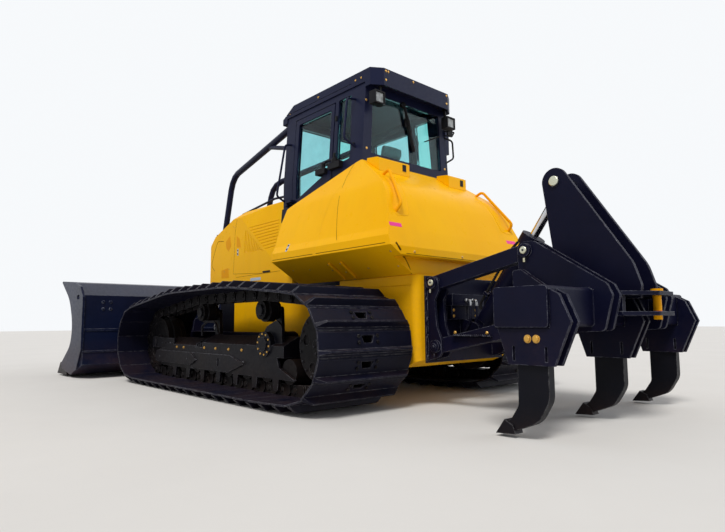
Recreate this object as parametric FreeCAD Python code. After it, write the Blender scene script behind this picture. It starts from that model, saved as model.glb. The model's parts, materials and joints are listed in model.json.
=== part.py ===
"""Wide-track bulldozer with a tilting blade on a C-frame and a three-shank parallelogram ripper."""
import FreeCAD, Part
import math
import os

# Sizes are in millimetres. X points to the front, Y to the left, Z up, and the ground is Z = 0.
# Inside this script X = 0 is the sprocket axis. The finished pieces are moved so that X = 0 is the middle.
# Places written as pairs are (x, z), and outline points are (first, second, corner radius).

# Clearances
GAP = 0.3                 # between faces that stay still beside each other
PIN_GAP = 0.05            # radial running clearance of a pin
RUN_GAP = 0.4             # between a wheel's tread and the chain's rail
SWING_GAP = 8.0           # round a door
EAR_GAP = 2.0             # between an ear and the eye beside it
OVER = 1.0                # how far a cutter reaches past a face, or a weld into its neighbour

# Track
TRACK_GAUGE = 2184.0
SHOE_WIDTH = 914.0
SHOE_COUNT = 46
SHOE_PLATE = 14.0
GROUSER_HEIGHT = 58.0
GROUSER_ROOT = 34.0
GROUSER_TIP = 16.0
GROUSER_SHARE = 0.80      # place of the grouser along its shoe
GROUSER_BEVEL = 62.0      # length of the bevel at each end of a grouser
BEVEL_FOOT = 6.0          # height at which the bevel ends above the shoe
LINK_HEIGHT = 96.0
RAIL_WIDTH = 50.0
RAIL_CENTRE = 75.0
SPROCKET_Z = 486.0
SPROCKET_PATH = 414.0     # radius of the shoes' outer face round the sprocket
IDLER_X = 3170.0
IDLER_Z = 465.0
IDLER_PATH = 400.0
CARRIER_PLACES = ((940.0, 788.0), (2130.0, 785.0))
CARRIER_PATH = 200.0
CARRIER_HALF = 85.0       # half width of a carrier roller's tread
ROLLER_RADIUS = 105.0
ROLLER_COUNT = 8
ROLLER_FIRST_X = 420.0
ROLLER_LAST_X = 2780.0
FLANGE_HEIGHT = 20.0
TREAD_HALF = 105.0
FLANGE_HALF = 40.0
CARRIER_SHAFT = 28.0
IDLER_HUB = 60.0
IDLER_DISH = 14.0
IDLER_RIM = 45.0
IDLER_CENTRE = 80.0
SPROCKET_TEETH = 25
TOOTH_HEIGHT = 34.0
TOOTH_ROOM = 12.0         # from a tooth to the rail beside it
DRIVE_RADIUS = 282.0      # rim of the final drive
DRIVE_DRUM = 270.0
DRIVE_FACE = 1215.0       # outer face of the final drive
DRIVE_RECESS = 42.0
DRIVE_RECESS_REACH = 195.0
DRIVE_RECESS_DEPTH = 12.0
DRIVE_RECESSES = 5
DRIVE_RECESS_TURN = 15.0
DRIVE_CAP = 96.0
DRIVE_CAP_HEIGHT = 10.0

# Roller frame
FRAME_HALF = 150.0        # half width
ROLLER_ROOM = 4.0         # from the rollers to the beam above them
BEAM_START = 470.0
NECK_START = 1958.0
RECOIL_START = 2110.0
IDLER_ROOM = 30.0         # from the idler's tread to the beam
BEAM_SIDE_TOP = 478.0
BEAM_RIDGE = 557.0
NECK_SIDE_TOP = 428.0
NECK_RIDGE = 500.0
NECK_RIB_TOP = 535.0
NECK_RIB = 12.0
NECK_RIBS = (1992.0, 2034.0, 2076.0)
RECOIL_SIDE_TOP = 445.0
RECOIL_RIDGE = 520.0
GUARD_PLATE = 24.0
GUARD_LAYER = 14.0        # thickness of each plate that lies on the guard
GUARD_LOW = 205.0
GUARD_RIB_LOW = 110.0
GUARD_RIB_TOP_HALF = 46.0
GUARD_RIB_LOW_HALF = 28.0
GUARD_PORT = (1578.0, 296.0)
GUARD_PORT_HALF = 24.0
GUARD_PORT_RISE = 16.0
YOKE_PLATE = 30.0
YOKE_TOP = 511.0
YOKE_LOW = 396.0
YOKE_REAR = 2645.0
YOKE_BOLT = (2811.0, 468.0)
YOKE_BOLT_RADIUS = 14.0
CARRIER_POST = 35.0
CARRIER_POST_INSET = 5.0
PIVOT_X = 761.0
PIVOT_Z = 490.0
PIVOT_COVER = 108.0
PIVOT_COVER_HEIGHT = 14.0
PIVOT_CAP = 60.0
PIVOT_SHAFT = 62.0
EQUALIZER_Z = 330.0
EQUALIZER_RADIUS = 45.0
FIN_PLATE = 24.0
FIN_PLATE_OUT = 1204.0    # outer face of the rounded plate in front of the sprocket

# Case and main frame
CASE_HALF = 600.0
CASE_REAR = -430.0
CASE_FRONT = 520.0
CASE_LOW = 310.0
CASE_CORNER = 60.0
CASE_RELIEF = (150.0, 60.0)
CASE_SEAM_Z = 965.0
CASE_SEAM = 4.0
DECK_Z = 1050.0           # top of the case and of the main frame
FRAME_BODY_HALF = 440.0
FRAME_BODY_LOW = 400.0
FRAME_BODY_FRONT = 3100.0
FRAME_BODY_WALL = 60.0
FRAME_BODY_FLOOR = 220.0
FRAME_BODY_CHIN = 200.0
CROSS_MEMBER = 80.0
CROSS_MEMBERS = (1845.0, 2775.0)
ENGINE_REAR = 1725.0
ENGINE_LENGTH = 1250.0
ENGINE_LOW = 950.0
ENGINE_HALF = 330.0
ENGINE_HEIGHT = 800.0

# Hood
HOOD_HALF = 470.0
HOOD_REAR = 1475.0
HOOD_TOP = 2030.0
HOOD_BEND_X = 2560.0
HOOD_BEND_ROUND = 200.0
HOOD_NOSE_X = 3230.0
HOOD_NOSE_Z = 1790.0
HOOD_NOSE_DROP = 110.0
HOOD_NOSE_ROUND = 60.0
HOOD_FRONT = 3350.0
HOOD_WALL = 12.0
HOOD_EDGE = 60.0          # width of the slope along the hood's upper edges
HOOD_EDGE_DROP = 70.0
CREASE_FRONT = (2642.0, 2007.0)   # upper end of the diagonal crease in the hood's side
CREASE_REAR = (1798.0, 1329.0)    # lower end of the crease
CREASE_TAPER = 85.0       # how far the side leans in at the hood's upper rear corner
LOUVRE_DEPTH = 4.0
LOUVRE_WIDTH = 11.0
LOUVRE_STEP = 36.0
GRILLE_SIDE = 60.0
GRILLE_LOW = 90.0
GRILLE_DROP = 190.0
GRILLE_DEPTH = 40.0
GRILLE_RIM = 30.0
GRILLE_SLATS = 9
SLAT_INSET = 6.0
SLAT_HALF = 9.0

# Tank and fenders
TANK_TOP = 2120.0
TANK_REAR = -500.0
TANK_HALF = 950.0
TANK_LOW = 1250.0
TANK_LIP = 70.0
TANK_CREASE_Z = 1392.0    # level where the tank's sides begin to lean in
TANK_CREASE_X = -450.0
TANK_SIDE_LOW = 1330.0
FENDER_FRONT = 1120.0
FENDER_FRONT_TOP = 1780.0
FENDER_NOSE = 1640.0
SEAM_X = 430.0            # joint between the tank and a fender
SEAM_Z = 1700.0
SEAM_TOP_X = 150.0
SEAM_TOP_Z = 2140.0
CAB_ROOM = 18.0           # between the cab and the tank beside it
LAMP_BOX_LENGTH = 150.0
LAMP_BOX_X = -30.0
LAMP_BOX_LOW = 1990.0
LAMP_BOX_TOP = 2098.0
LAMP_BOX_SPANS = ((232.0, 615.0), (-590.0, -322.0))

# Cab
CAB_REAR = 200.0
CAB_FRONT = 1450.0
CAB_HALF = 600.0
CAB_TOP_HALF = 548.0
CAB_FLOOR = 1290.0
CAB_WAIST = 2120.0
CAB_TOP = 2860.0
CAB_WALL = 50.0
FLOOR_THICK = 40.0
BASE_HALF = 440.0
BASE_INSET = 20.0
GLASS = 8.0
GLASS_CORNER = 20.0
ROOF_TOP = 2975.0
ROOF_HALF = 560.0
ROOF_REAR = 62.0
ROOF_CORNER = 110.0
ROOF_CORNER_LENGTH = 70.0
ROOF_FRONT = 1330.0
ROOF_NOSE = 1530.0
ROOF_NOSE_TOP = 2868.0
ROOF_NOSE_LOW = 2804.0
ROOF_GROOVE_X = 395.0
ROOF_GROOVE_Z = 2896.0
ROOF_GROOVE = 6.0
VISOR_LOW = 2812.0
VISOR_SHEET = 12.0
DOOR_REAR = 625.0
DOOR_FRONT = 1290.0
DOOR_TOP = 2795.0
DOOR_LOW = 1345.0
DOOR_LEG_X = 1150.0       # rear side of the door's lower part
DOOR_LEG_Z = 1850.0
DOOR_REAR_LOW = 2035.0
DOOR_FRAME = 62.0
DOOR_PANE_REAR_LOW = 2060.0
DOOR_PANE_LEG = 1880.0
DOOR_PANE_FRONT_LOW = 1860.0
DOOR_HINGE_X = 1312.0
DOOR_HINGE_Y = 650.0
HINGE_RADIUS = 9.0
HINGE_ARM = 24.0
HINGE_REACH = 14.0
HINGE_PAD = 8.0
HINGE_BLOCK = 30.0
DOOR_REAR_GAP = 16.0      # wider, because the rear edge swings past the post
JAMB_FLARE = 24.0         # slope of the jamb behind the door's lower part
DOOR_HINGES = (1500.0, 1900.0)
QUARTER_REAR = 375.0      # quarter glass behind the door
QUARTER_FRONT = 580.0
QUARTER_LOW = 2165.0
REAR_WINDOW = (490.0, 2205.0, 2780.0)      # half width, low and high edges
FRONT_WINDOW = (500.0, 1560.0, 2780.0)
WINDOW_TAPER = 30.0

# Cab inside
SEAT_Z = 1730.0
SEAT_HALF = 250.0
SEAT_REAR = 470.0
SEAT_FRONT = 960.0
CONSOLE_IN = 330.0
CONSOLE_OUT = 500.0
CONSOLE_TOP = 550.0
STICK_X = 960.0
STICK_RADIUS = 16.0
STICK_HEIGHT = 150.0
KNOB_RADIUS = 26.0
KNOB_HEIGHT = 60.0
DASH_HALF = 230.0

# Guards, rails, lamps
SWEEP_RADIUS = 38.0
SWEEP_BEND = 260.0
SWEEP_TOP = (520.0, 2758.0)            # y and z at the cab
SWEEP_CORNER = (3080.0, 310.0, 2585.0)
SWEEP_FOOT = (3330.0, 300.0, 1700.0)
BRACE_RADIUS = 24.0
BRACE_LOW = 2545.0
BRACE_TOP = (2030.0, 447.0, 2712.0)
FLANGE_Y = (465.0, 545.0)
FLANGE_Z = (2510.0, 2798.0)
FLANGE_THICK = 14.0
RAIL_RADIUS = 13.0
RAIL_BEND = 40.0
BEND_CHORD = 24.0         # largest turn in degrees between two mitred lengths of a bent tube
TANK_RAIL = ((-70.0, 640.0, 1895.0), (-185.0, 645.0, 1945.0), (-440.0, 765.0, 1598.0), (-350.0, 775.0, 1505.0))
HOOD_RAIL_Y = 350.0
HOOD_RAIL = ((2765.0, 1900.0), (2765.0, 2030.0), (2010.0, 2112.0), (1640.0, 2095.0), (1560.0, 1990.0))
REAR_HANDLE = ((330.0, 500.0, 2740.0), (330.0, 665.0, 2715.0), (330.0, 705.0, 2330.0), (300.0, 540.0, 2245.0))
FRONT_HANDLE = ((1352.0, 500.0, 2560.0), (1352.0, 650.0, 2530.0), (1430.0, 700.0, 1990.0), (1430.0, 560.0, 1925.0))
HANDLE_RADIUS = 11.0
MIRROR_ARM = ((335.0, -500.0, 2700.0), (415.0, -770.0, 2715.0))
MIRROR_Y = (-860.0, -705.0)
MIRROR_Z = (2500.0, 2775.0)
MIRROR_X = (392.0, 436.0)
LAMP_X = (74.0, 142.0)
LAMP_Y = (437.0, 561.0)
LAMP_Z = (2628.0, 2746.0)
LAMP_STEM = 20.0
LAMP_LENS = 6.0
STACK_PLACE = (2450.0, -255.0)
STACK_RADIUS = 62.0
STACK_HEIGHT = 500.0
TAIL_RADIUS = 56.0
TAIL_LENGTH = 90.0
TAIL_LEAN = 0.5

# C-frame and blade
ARM_PIVOT_X = 1550.0
ARM_PIVOT_Z = 470.0
ARM_IN = 492.0
ARM_OUT = 600.0
ARM_HALF_HEIGHT = 100.0
ARM_END = 105.0
ARM_PIN = 45.0
ARM_BOSS = 95.0
CROSS_REAR = 3605.0
CROSS_FRONT = 3730.0
CROSS_CHAMFER = 60.0
NOSE_RADIUS = 60.0
NOSE_FLANGE = 120.0
NOSE_FLANGE_LENGTH = 90.0
NOSE_END = 3940.0
NOSE_HUB_WALL = 50.0
NOSE_HUB_DEPTH = 110.0
BLADE_REAR = 3970.0
BLADE_HALF = 1850.0
BLADE_LOW = 180.0
BLADE_BACK_TOP = 1030.0
BLADE_TOP = 1250.0
BLADE_END = 28.0          # thickness of an end plate
BLADE_END_PROUD = 16.0    # how far an end plate stands behind the back
BLADE_RIB = 10.0
BLADE_RIBS = ((-1822.0, 590.0, 24.0), (-1822.0, 330.0, 16.0))   # start y, level and height
LIFT_SLOT = (4140.0, 1010.0)
LIFT_SLOT_LENGTH = 120.0
LIFT_SLOT_RADIUS = 30.0
BOLT_RADIUS = 11.0
BOLT_Y = 1560.0
BOLT_Z = 905.0
BOLT_SPACING_Y = 90.0
BOLT_SPACING_Z = 90.0
BOLT_DEPTH = 60.0
LIFT_X = 3460.0
LIFT_Y = 300.0
LIFT_TOP_Z = 1270.0       # trunnion of a lift cylinder
LIFT_EYE_X = 3515.0
LIFT_EYE_Z = 470.0
LIFT_EYE_HALF = 56.0
LIFT_EYE_RADIUS = 45.0
LIFT_EAR = 20.0
LIFT_EAR_END = 55.0
LIFT_BARREL = 50.0
LIFT_BORE = 41.0
LIFT_ROD = 27.0
LIFT_PIVOT = 25.0
LIFT_PISTON = 50.0
LIFT_COLLAR = 57.0
LIFT_COLLAR_HALF = 35.0
LIFT_GLAND = 270.0        # from the trunnion down to the gland's end
LIFT_GLAND_LENGTH = 35.0
LIFT_CAP = 590.0          # from the trunnion up to the barrel's closed end
LIFT_CAP_WALL = 25.0
LIFT_ROD_LENGTH = 880.0
TRUNNION_EAR = 26.0
TRUNNION_EAR_END = 45.0
TILT_X = 3820.0
TILT_BASE = (430.0, 700.0)       # y, z
TILT_EYE = (-300.0, 950.0)
TILT_PIN = 24.0
TILT_BARREL = 45.0
TILT_BORE = 36.0
TILT_ROD = 22.0
TILT_EYE_HALF = 37.0
TILT_BASE_RADIUS = 44.0
TILT_EYE_RADIUS = 40.0
TILT_CLOSED = 70.0
TILT_GLAND = 520.0
TILT_TAIL = 200.0
TILT_EAR = 20.0
TILT_EAR_IN = 38.0

# Ripper
LINK_Y = 425.0            # centre plane of the links
LINK_HALF = 42.0
EYE_RADIUS = 55.0
PIN_RADIUS = 30.0
PIN_HEAD = 47.0
PIN_HEAD_LENGTH = 26.0
UPPER_FRONT = (-505.0, 981.0)
LOWER_FRONT = (-525.0, 483.0)
LINK_REACH = (-835.0, 174.0)   # from a link's front pin to its rear pin
LINK_TIE = (400.0, 700.0)      # stretch of the lower link that the tie plate joins
LINK_TIE_HALF = 50.0
STEP_REAR = -1054.0
STEP_FRONT = -699.0
STEP_Z = 563.0
STEP_DEPTH = 44.0
STEP_WIDTH = 105.0
STEP_TEETH = 9
PLATE = 22.0
BACK_PLATE = 16.0
BACK_HALF = 510.0
BACK_LOW = 350.0
BEAM_REAR = -1797.0
BEAM_FRONT = -1444.0
BEAM_LOW = 638.0
BEAM_TOP = 875.0
BEAM_HALF = 1030.0
BEAM_CORNER = 22.0
TOWER_HALF_GAP = 105.0
TOWER_PLATE = 28.0
TOWER_PIN = (-1381.0, 1689.0)
TOWER_ROUND = 100.0
TOWER_PIN_RADIUS = 40.0
RIPPER_BASE = (-590.0, 600.0)
RIPPER_EAR = 24.0
RIPPER_BARREL = 72.0
RIPPER_BORE = 58.0
RIPPER_ROD = 34.0
RIPPER_EYE = 58.0
RIPPER_EYE_HALF = 60.0
RIPPER_COLLAR = 94.0
RIPPER_COLLAR_LENGTH = 85.0
RIPPER_CLOSED = 90.0
RIPPER_GLAND = 900.0
RIPPER_TAIL = 450.0
RIPPER_ROD_EYE = 54.0
SHANK_Y = 958.0
SHANK_HALF = 30.0
SHANK_FRONT = -1569.0
SHANK_REAR = -1766.0
SHANK_LIFT = 25.0
SHANK_HEAD = 12.0         # how far a shank's head ends below the beam
TIP_HALF = 40.0
POCKET_SLOTS = (-1562.0, -1768.0)
POCKET_SLOT_LOW = 446.0
POCKET_SLOT_HIGH = 530.0
POCKET_SLOT_HALF = 7.0
GUSSET_TOP = 1024.0
HITCH_HALF = 330.0
HITCH_NOSE = 120.0
HITCH_REACH = -2050.0
HITCH_PLATE = 26.0
HITCH_TOP_Z = 833.0
HITCH_LOW_Z = 704.0
HITCH_PIN = 26.0
HITCH_PIN_X = -1990.0
HITCH_PIN_HEAD = 12.0
HITCH_PIN_HEAD_HEIGHT = 18.0
HITCH_PIN_FOOT = 26.0
HITCH_POST = 20.0
VALVE_BLOCKS = ((-162.0, 263.0, 806.0, 900.0, 70.0), (-150.0, 40.0, 694.0, 806.0, 52.0),
                (60.0, 250.0, 694.0, 806.0, 52.0))   # y from, y to, z from, z to, depth

# Derived places
TRACK_Y = TRACK_GAUGE / 2.0
FRAME_IN = TRACK_Y - FRAME_HALF
FRAME_OUT = TRACK_Y + FRAME_HALF
CHAIN_DEPTH = SHOE_PLATE + LINK_HEIGHT
ROLLER_Z = GROUSER_HEIGHT + CHAIN_DEPTH + ROLLER_RADIUS
FRAME_LOW = ROLLER_Z + ROLLER_RADIUS + ROLLER_ROOM
UPPER_REAR = (UPPER_FRONT[0] + LINK_REACH[0], UPPER_FRONT[1] + LINK_REACH[1])
LOWER_REAR = (LOWER_FRONT[0] + LINK_REACH[0], LOWER_FRONT[1] + LINK_REACH[1])
LINK_IN = LINK_Y - LINK_HALF
LINK_OUT = LINK_Y + LINK_HALF
TILT_START = (TILT_X, TILT_BASE[0], TILT_BASE[1])
TILT_END = (TILT_X, TILT_EYE[0], TILT_EYE[1])
RIPPER_START = (RIPPER_BASE[0], 0.0, RIPPER_BASE[1])
RIPPER_END = (TOWER_PIN[0], 0.0, TOWER_PIN[1])
CAB_DECK = CAB_FLOOR + FLOOR_THICK + GAP
SHANK_ROWS = (-SHANK_Y, 0.0, SHANK_Y)
FAR = 4000.0              # longer than anything that a cutter has to pass
LEFT = 1.0
RIGHT = -1.0
SIDES = (LEFT, RIGHT)


# Shape helpers

def vec(x, y, z):
    return FreeCAD.Vector(x, y, z)


def box(x0, x1, y0, y1, z0, z1):
    low = vec(min(x0, x1), min(y0, y1), min(z0, z1))
    return Part.makeBox(abs(x1 - x0), abs(y1 - y0), abs(z1 - z0), low)


def rounded_wire(points):
    """Closed wire through (x, z) or (x, z, corner radius) points, each corner an arc tangent to its sides."""
    count = len(points)
    edges = []
    last = None
    first = None
    for index, point in enumerate(points):
        here = vec(point[0], 0, point[1])
        radius = point[2] if len(point) > 2 else 0.0
        before = vec(points[index - 1][0], 0, points[index - 1][1])
        after = vec(points[(index + 1) % count][0], 0, points[(index + 1) % count][1])
        start = here
        end = here
        arc = None
        if radius > 0:
            back = (before - here).normalize()
            ahead = (after - here).normalize()
            half = back.getAngle(ahead) / 2.0
            start = here + back * (radius / math.tan(half))
            end = here + ahead * (radius / math.tan(half))
            top = here + (back + ahead).normalize() * (radius / math.sin(half) - radius)
            arc = Part.Arc(start, top, end).toShape()
        if last is not None and last.distanceToPoint(start) > 1e-6:
            edges.append(Part.makeLine(last, start))
        if arc is not None:
            edges.append(arc)
        if first is None:
            first = start
        last = end
    if last.distanceToPoint(first) > 1e-6:
        edges.append(Part.makeLine(last, first))
    return Part.Wire(edges)


def plate_y(points, y0, y1):
    """Plate whose outline lies in the X-Z plane."""
    face = Part.Face(rounded_wire(points))
    face.translate(vec(0, min(y0, y1), 0))
    return face.extrude(vec(0, abs(y1 - y0), 0))


def plate_x(points, x0, x1):
    """Plate whose outline lies in the Y-Z plane, with points given as (y, z, corner radius)."""
    solid = plate_y(points, 0, abs(x1 - x0))
    solid.rotate(vec(0, 0, 0), vec(0, 0, 1), 90)
    # the turn sends the outline's X to Y, and the thickness from Y to -X
    solid.translate(vec(max(x0, x1), 0, 0))
    return solid


def plate_z(points, z0, z1):
    """Plate whose outline lies in the X-Y plane, with points given as (x, y, corner radius)."""
    solid = plate_y(points, 0, abs(z1 - z0))
    solid.rotate(vec(0, 0, 0), vec(1, 0, 0), 90)
    # the turn sends the outline's Z to -Y, so the outline is mirrored back
    solid = solid.mirror(vec(0, 0, 0), vec(0, 1, 0))
    solid.translate(vec(0, 0, min(z0, z1)))
    return solid


def rod_y(place, radius, y0, y1):
    return Part.makeCylinder(radius, abs(y1 - y0), vec(place[0], min(y0, y1), place[1]), vec(0, 1, 0))


def rod_z(x, y, radius, z0, z1):
    return Part.makeCylinder(radius, z1 - z0, vec(x, y, z0))


def rod_between(start, end, radius):
    start = vec(*start)
    end = vec(*end)
    return Part.makeCylinder(radius, start.distanceToPoint(end), start, end - start)


def fuse(solids):
    solids = list(solids)
    if len(solids) == 1:
        return solids[0]
    return solids[0].multiFuse(solids[1:]).removeSplitter()


def both_sides(solid):
    return [solid, solid.mirror(vec(0, 0, 0), vec(0, 1, 0))]


def place_side(solid, side):
    """A piece modelled on the left is mirrored for the right."""
    return solid if side == LEFT else solid.mirror(vec(0, 0, 0), vec(0, 1, 0))


def mirrored(half_outline):
    """Closed outline from its half on the left, given from the bottom to the top."""
    return list(half_outline) + [(-y, *rest) for y, *rest in reversed(half_outline)]


def solid_of(shape):
    return shape if shape.ShapeType == "Solid" else max(shape.Solids, key=lambda solid: solid.Volume)


def mitre(bar, place, before, after, reach):
    """Cuts the end of a bar at the plane that halves the angle between two directions."""
    normal = (before + after).normalize()
    return bar.cut(Part.makeCylinder(reach, reach, place, normal))


def bend_stations(points, bend):
    """Points of a path whose corners are replaced by short chords along an arc."""
    stations = [vec(*point) for point in points]
    path = [stations[0]]
    for before, here, after in zip(stations, stations[1:], stations[2:]):
        back = (before - here).normalize()
        ahead = (after - here).normalize()
        half = back.getAngle(ahead) / 2.0
        centre = here + (back + ahead).normalize() * (bend / math.sin(half))
        first = here + back * (bend / math.tan(half)) - centre
        last = here + ahead * (bend / math.tan(half)) - centre
        turn = math.pi - 2.0 * half
        count = max(2, math.ceil(math.degrees(turn) / BEND_CHORD))
        for index in range(count + 1):
            share = turn * index / count
            path.append(centre + (first * math.sin(turn - share) + last * math.sin(share)) / math.sin(turn))
    path.append(stations[-1])
    return path


def tube(points, radius, bend):
    """Round bar along straight runs, with each bend made of short mitred lengths."""
    path = bend_stations(points, bend)
    reach = 3.0 * radius
    pieces = []
    for index, (start, end) in enumerate(zip(path, path[1:])):
        along = (end - start).normalize()
        first = start - along * radius if index > 0 else start
        last = end + along * radius if index < len(path) - 2 else end
        bar = rod_between(first, last, radius)
        if index > 0:
            before = (start - path[index - 1]).normalize()
            bar = mitre(bar, start, along * -1.0, before * -1.0, reach)
        if index < len(path) - 2:
            after = (path[index + 2] - end).normalize()
            bar = mitre(bar, end, along, after, reach)
        pieces.append(bar)
    return fuse(pieces)


# Track loop

def loop_circles():
    """Centre and radius of each stretch that the shoes' outer face wraps, anticlockwise from the sprocket."""
    low = ROLLER_RADIUS + CHAIN_DEPTH
    circles = [(0.0, SPROCKET_Z, SPROCKET_PATH), (ROLLER_FIRST_X, ROLLER_Z, low),
               (ROLLER_LAST_X, ROLLER_Z, low), (IDLER_X, IDLER_Z, IDLER_PATH)]
    return circles + [(x, z, CARRIER_PATH) for x, z in reversed(CARRIER_PLACES)]


def loop_pieces():
    """Straight and round stretches of the belt line round all circles."""
    circles = loop_circles()
    tangents = []
    for index, (x0, z0, r0) in enumerate(circles):
        x1, z1, r1 = circles[(index + 1) % len(circles)]
        heading = math.atan2(z1 - z0, x1 - x0)
        lean = math.asin((r0 - r1) / math.hypot(x1 - x0, z1 - z0))
        # the outer side lies to the right of an anticlockwise run
        side = heading - math.pi / 2.0 + lean
        start = (x0 + r0 * math.cos(side), z0 + r0 * math.sin(side))
        end = (x1 + r1 * math.cos(side), z1 + r1 * math.sin(side))
        tangents.append((start, end, side))
    pieces = []
    for index, (start, end, side) in enumerate(tangents):
        following = (index + 1) % len(circles)
        turn = (tangents[following][2] - side) % (2.0 * math.pi)
        pieces.append(("line", math.dist(start, end), start, end))
        pieces.append(("arc", circles[following][2] * turn, circles[following], side))
    return pieces


def loop_point(pieces, distance):
    for kind, length, first, second in pieces:
        if distance <= length:
            if kind == "line":
                share = distance / length
                return (first[0] + (second[0] - first[0]) * share, first[1] + (second[1] - first[1]) * share)
            x, z, radius = first
            angle = second + distance / radius
            return (x + radius * math.cos(angle), z + radius * math.sin(angle))
        distance -= length
    return loop_point(pieces, 0.0)


def loop_joints():
    """Corners of the shoes' outer face, one at each joint of the chain."""
    pieces = loop_pieces()
    pitch = sum(piece[1] for piece in pieces) / SHOE_COUNT
    return [loop_point(pieces, pitch * index) for index in range(SHOE_COUNT)]


def inset_loop(joints, depth):
    """The joints moved inwards by depth, measured square to the shoes."""
    moved = []
    for index, (x1, z1) in enumerate(joints):
        x0, z0 = joints[index - 1]
        x2, z2 = joints[(index + 1) % len(joints)]
        first = math.atan2(z1 - z0, x1 - x0) + math.pi / 2.0
        second = math.atan2(z2 - z1, x2 - x1) + math.pi / 2.0
        half = math.atan2(math.sin(second - first), math.cos(second - first)) / 2.0
        reach = depth / math.cos(half)
        moved.append((x1 + reach * math.cos(first + half), z1 + reach * math.sin(first + half)))
    return moved


def shoe_axes(joints, index):
    """Rear corner of a shoe's outer face, its length, and the directions along it and out of the loop."""
    x0, z0 = joints[index]
    x1, z1 = joints[(index + 1) % len(joints)]
    length = math.dist((x0, z0), (x1, z1))
    along = vec((x1 - x0) / length, 0, (z1 - z0) / length)
    return vec(x0, 0, z0), length, along, vec(along.z, 0, -along.x)


def grouser_outline(joints):
    """Outer outline of the loop with one grouser on each shoe."""
    outline = []
    for index in range(len(joints)):
        corner, length, along, out = shoe_axes(joints, index)
        outline.append((corner.x, corner.z))
        for shift, height in ((-GROUSER_ROOT / 2.0, 0.0), (-GROUSER_TIP / 2.0, GROUSER_HEIGHT),
                              (GROUSER_TIP / 2.0, GROUSER_HEIGHT), (GROUSER_ROOT / 2.0, 0.0)):
            point = corner + along * (length * GROUSER_SHARE + shift) + out * height
            outline.append((point.x, point.z))
    return outline


def grouser_bevels(joints):
    """Wedges that cut the two ends of every grouser to a slope."""
    top = GROUSER_HEIGHT + BEVEL_FOOT
    wedges = []
    for index in range(len(joints)):
        corner, length, along, out = shoe_axes(joints, index)
        root = corner + along * (length * GROUSER_SHARE - GROUSER_ROOT)
        for sign in SIDES:
            edge = TRACK_Y + sign * SHOE_WIDTH / 2.0
            points = []
            for shift, height in ((0.0, BEVEL_FOOT), (-GROUSER_BEVEL, top), (OVER, top), (OVER, BEVEL_FOOT)):
                points.append(root + out * height + vec(0, edge + sign * shift, 0))
            wire = Part.makePolygon(points + [points[0]])
            wedges.append(Part.Face(wire).extrude(along * (2.0 * GROUSER_ROOT)))
    return Part.makeCompound(wedges)


def ring_y(outer, inner, y0, y1):
    ring = Part.Face(rounded_wire(outer)).cut(Part.Face(rounded_wire(inner)))
    ring.translate(vec(0, y0, 0))
    return ring.extrude(vec(0, y1 - y0, 0))


def track_loop(side):
    """Closed belt of shoes with their grousers, and the two rails of its chain."""
    joints = loop_joints()
    half = SHOE_WIDTH / 2.0
    band = ring_y(grouser_outline(joints), inset_loop(joints, SHOE_PLATE), TRACK_Y - half, TRACK_Y + half)
    rails = []
    for centre in (TRACK_Y - RAIL_CENTRE, TRACK_Y + RAIL_CENTRE):
        low = centre - RAIL_WIDTH / 2.0
        outer = inset_loop(joints, SHOE_PLATE - OVER)
        rails.append(ring_y(outer, inset_loop(joints, CHAIN_DEPTH), low, low + RAIL_WIDTH))
    solid = band.multiFuse(rails).cut(grouser_bevels(joints))
    return place_side(solid_of(solid), side)


# Wheels of the undercarriage

def running_radius(x, z):
    """Tread radius of the wheel at (x, z) that leaves the running gap under the chain's flat links."""
    rail = inset_loop(loop_joints(), CHAIN_DEPTH)
    nearest = SPROCKET_PATH
    for index, (x1, z1) in enumerate(rail):
        x0, z0 = rail[index - 1]
        length = math.dist((x0, z0), (x1, z1))
        share = ((x - x0) * (x1 - x0) + (z - z0) * (z1 - z0)) / length ** 2
        share = min(1.0, max(0.0, share))
        nearest = min(nearest, math.dist((x, z), (x0 + share * (x1 - x0), z0 + share * (z1 - z0))))
    return nearest - RUN_GAP


def sprockets():
    """Toothed rims on their final drives, with the recesses and the cap of the drive's cover."""
    centre = (0.0, SPROCKET_Z)
    root = running_radius(*centre)
    points = []
    # place of each corner along one tooth's pitch, and its height
    for tooth in range(SPROCKET_TEETH):
        for share, height in ((0.0, 0.0), (0.30, 0.0), (0.45, TOOTH_HEIGHT), (0.70, TOOTH_HEIGHT), (0.85, 0.0)):
            angle = 2.0 * math.pi * (tooth + share) / SPROCKET_TEETH
            radius = root + height
            points.append((radius * math.cos(angle), SPROCKET_Z + radius * math.sin(angle)))
    tooth_half = RAIL_CENTRE - RAIL_WIDTH / 2.0 - TOOTH_ROOM
    wheel = plate_y(points, TRACK_Y - tooth_half, TRACK_Y + tooth_half)
    drum = rod_y(centre, DRIVE_DRUM, CASE_HALF + GAP, TRACK_Y)
    rim = rod_y(centre, DRIVE_RADIUS, TRACK_Y, DRIVE_FACE)
    cap = rod_y(centre, DRIVE_CAP, DRIVE_FACE - OVER, DRIVE_FACE + DRIVE_CAP_HEIGHT)
    body = fuse([wheel, drum, rim, cap])
    for index in range(DRIVE_RECESSES):
        angle = math.radians(DRIVE_RECESS_TURN + 360.0 * index / DRIVE_RECESSES)
        place = (DRIVE_RECESS_REACH * math.cos(angle), SPROCKET_Z + DRIVE_RECESS_REACH * math.sin(angle))
        body = body.cut(rod_y(place, DRIVE_RECESS, DRIVE_FACE - DRIVE_RECESS_DEPTH, DRIVE_FACE + OVER))
    return both_sides(body)


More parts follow.
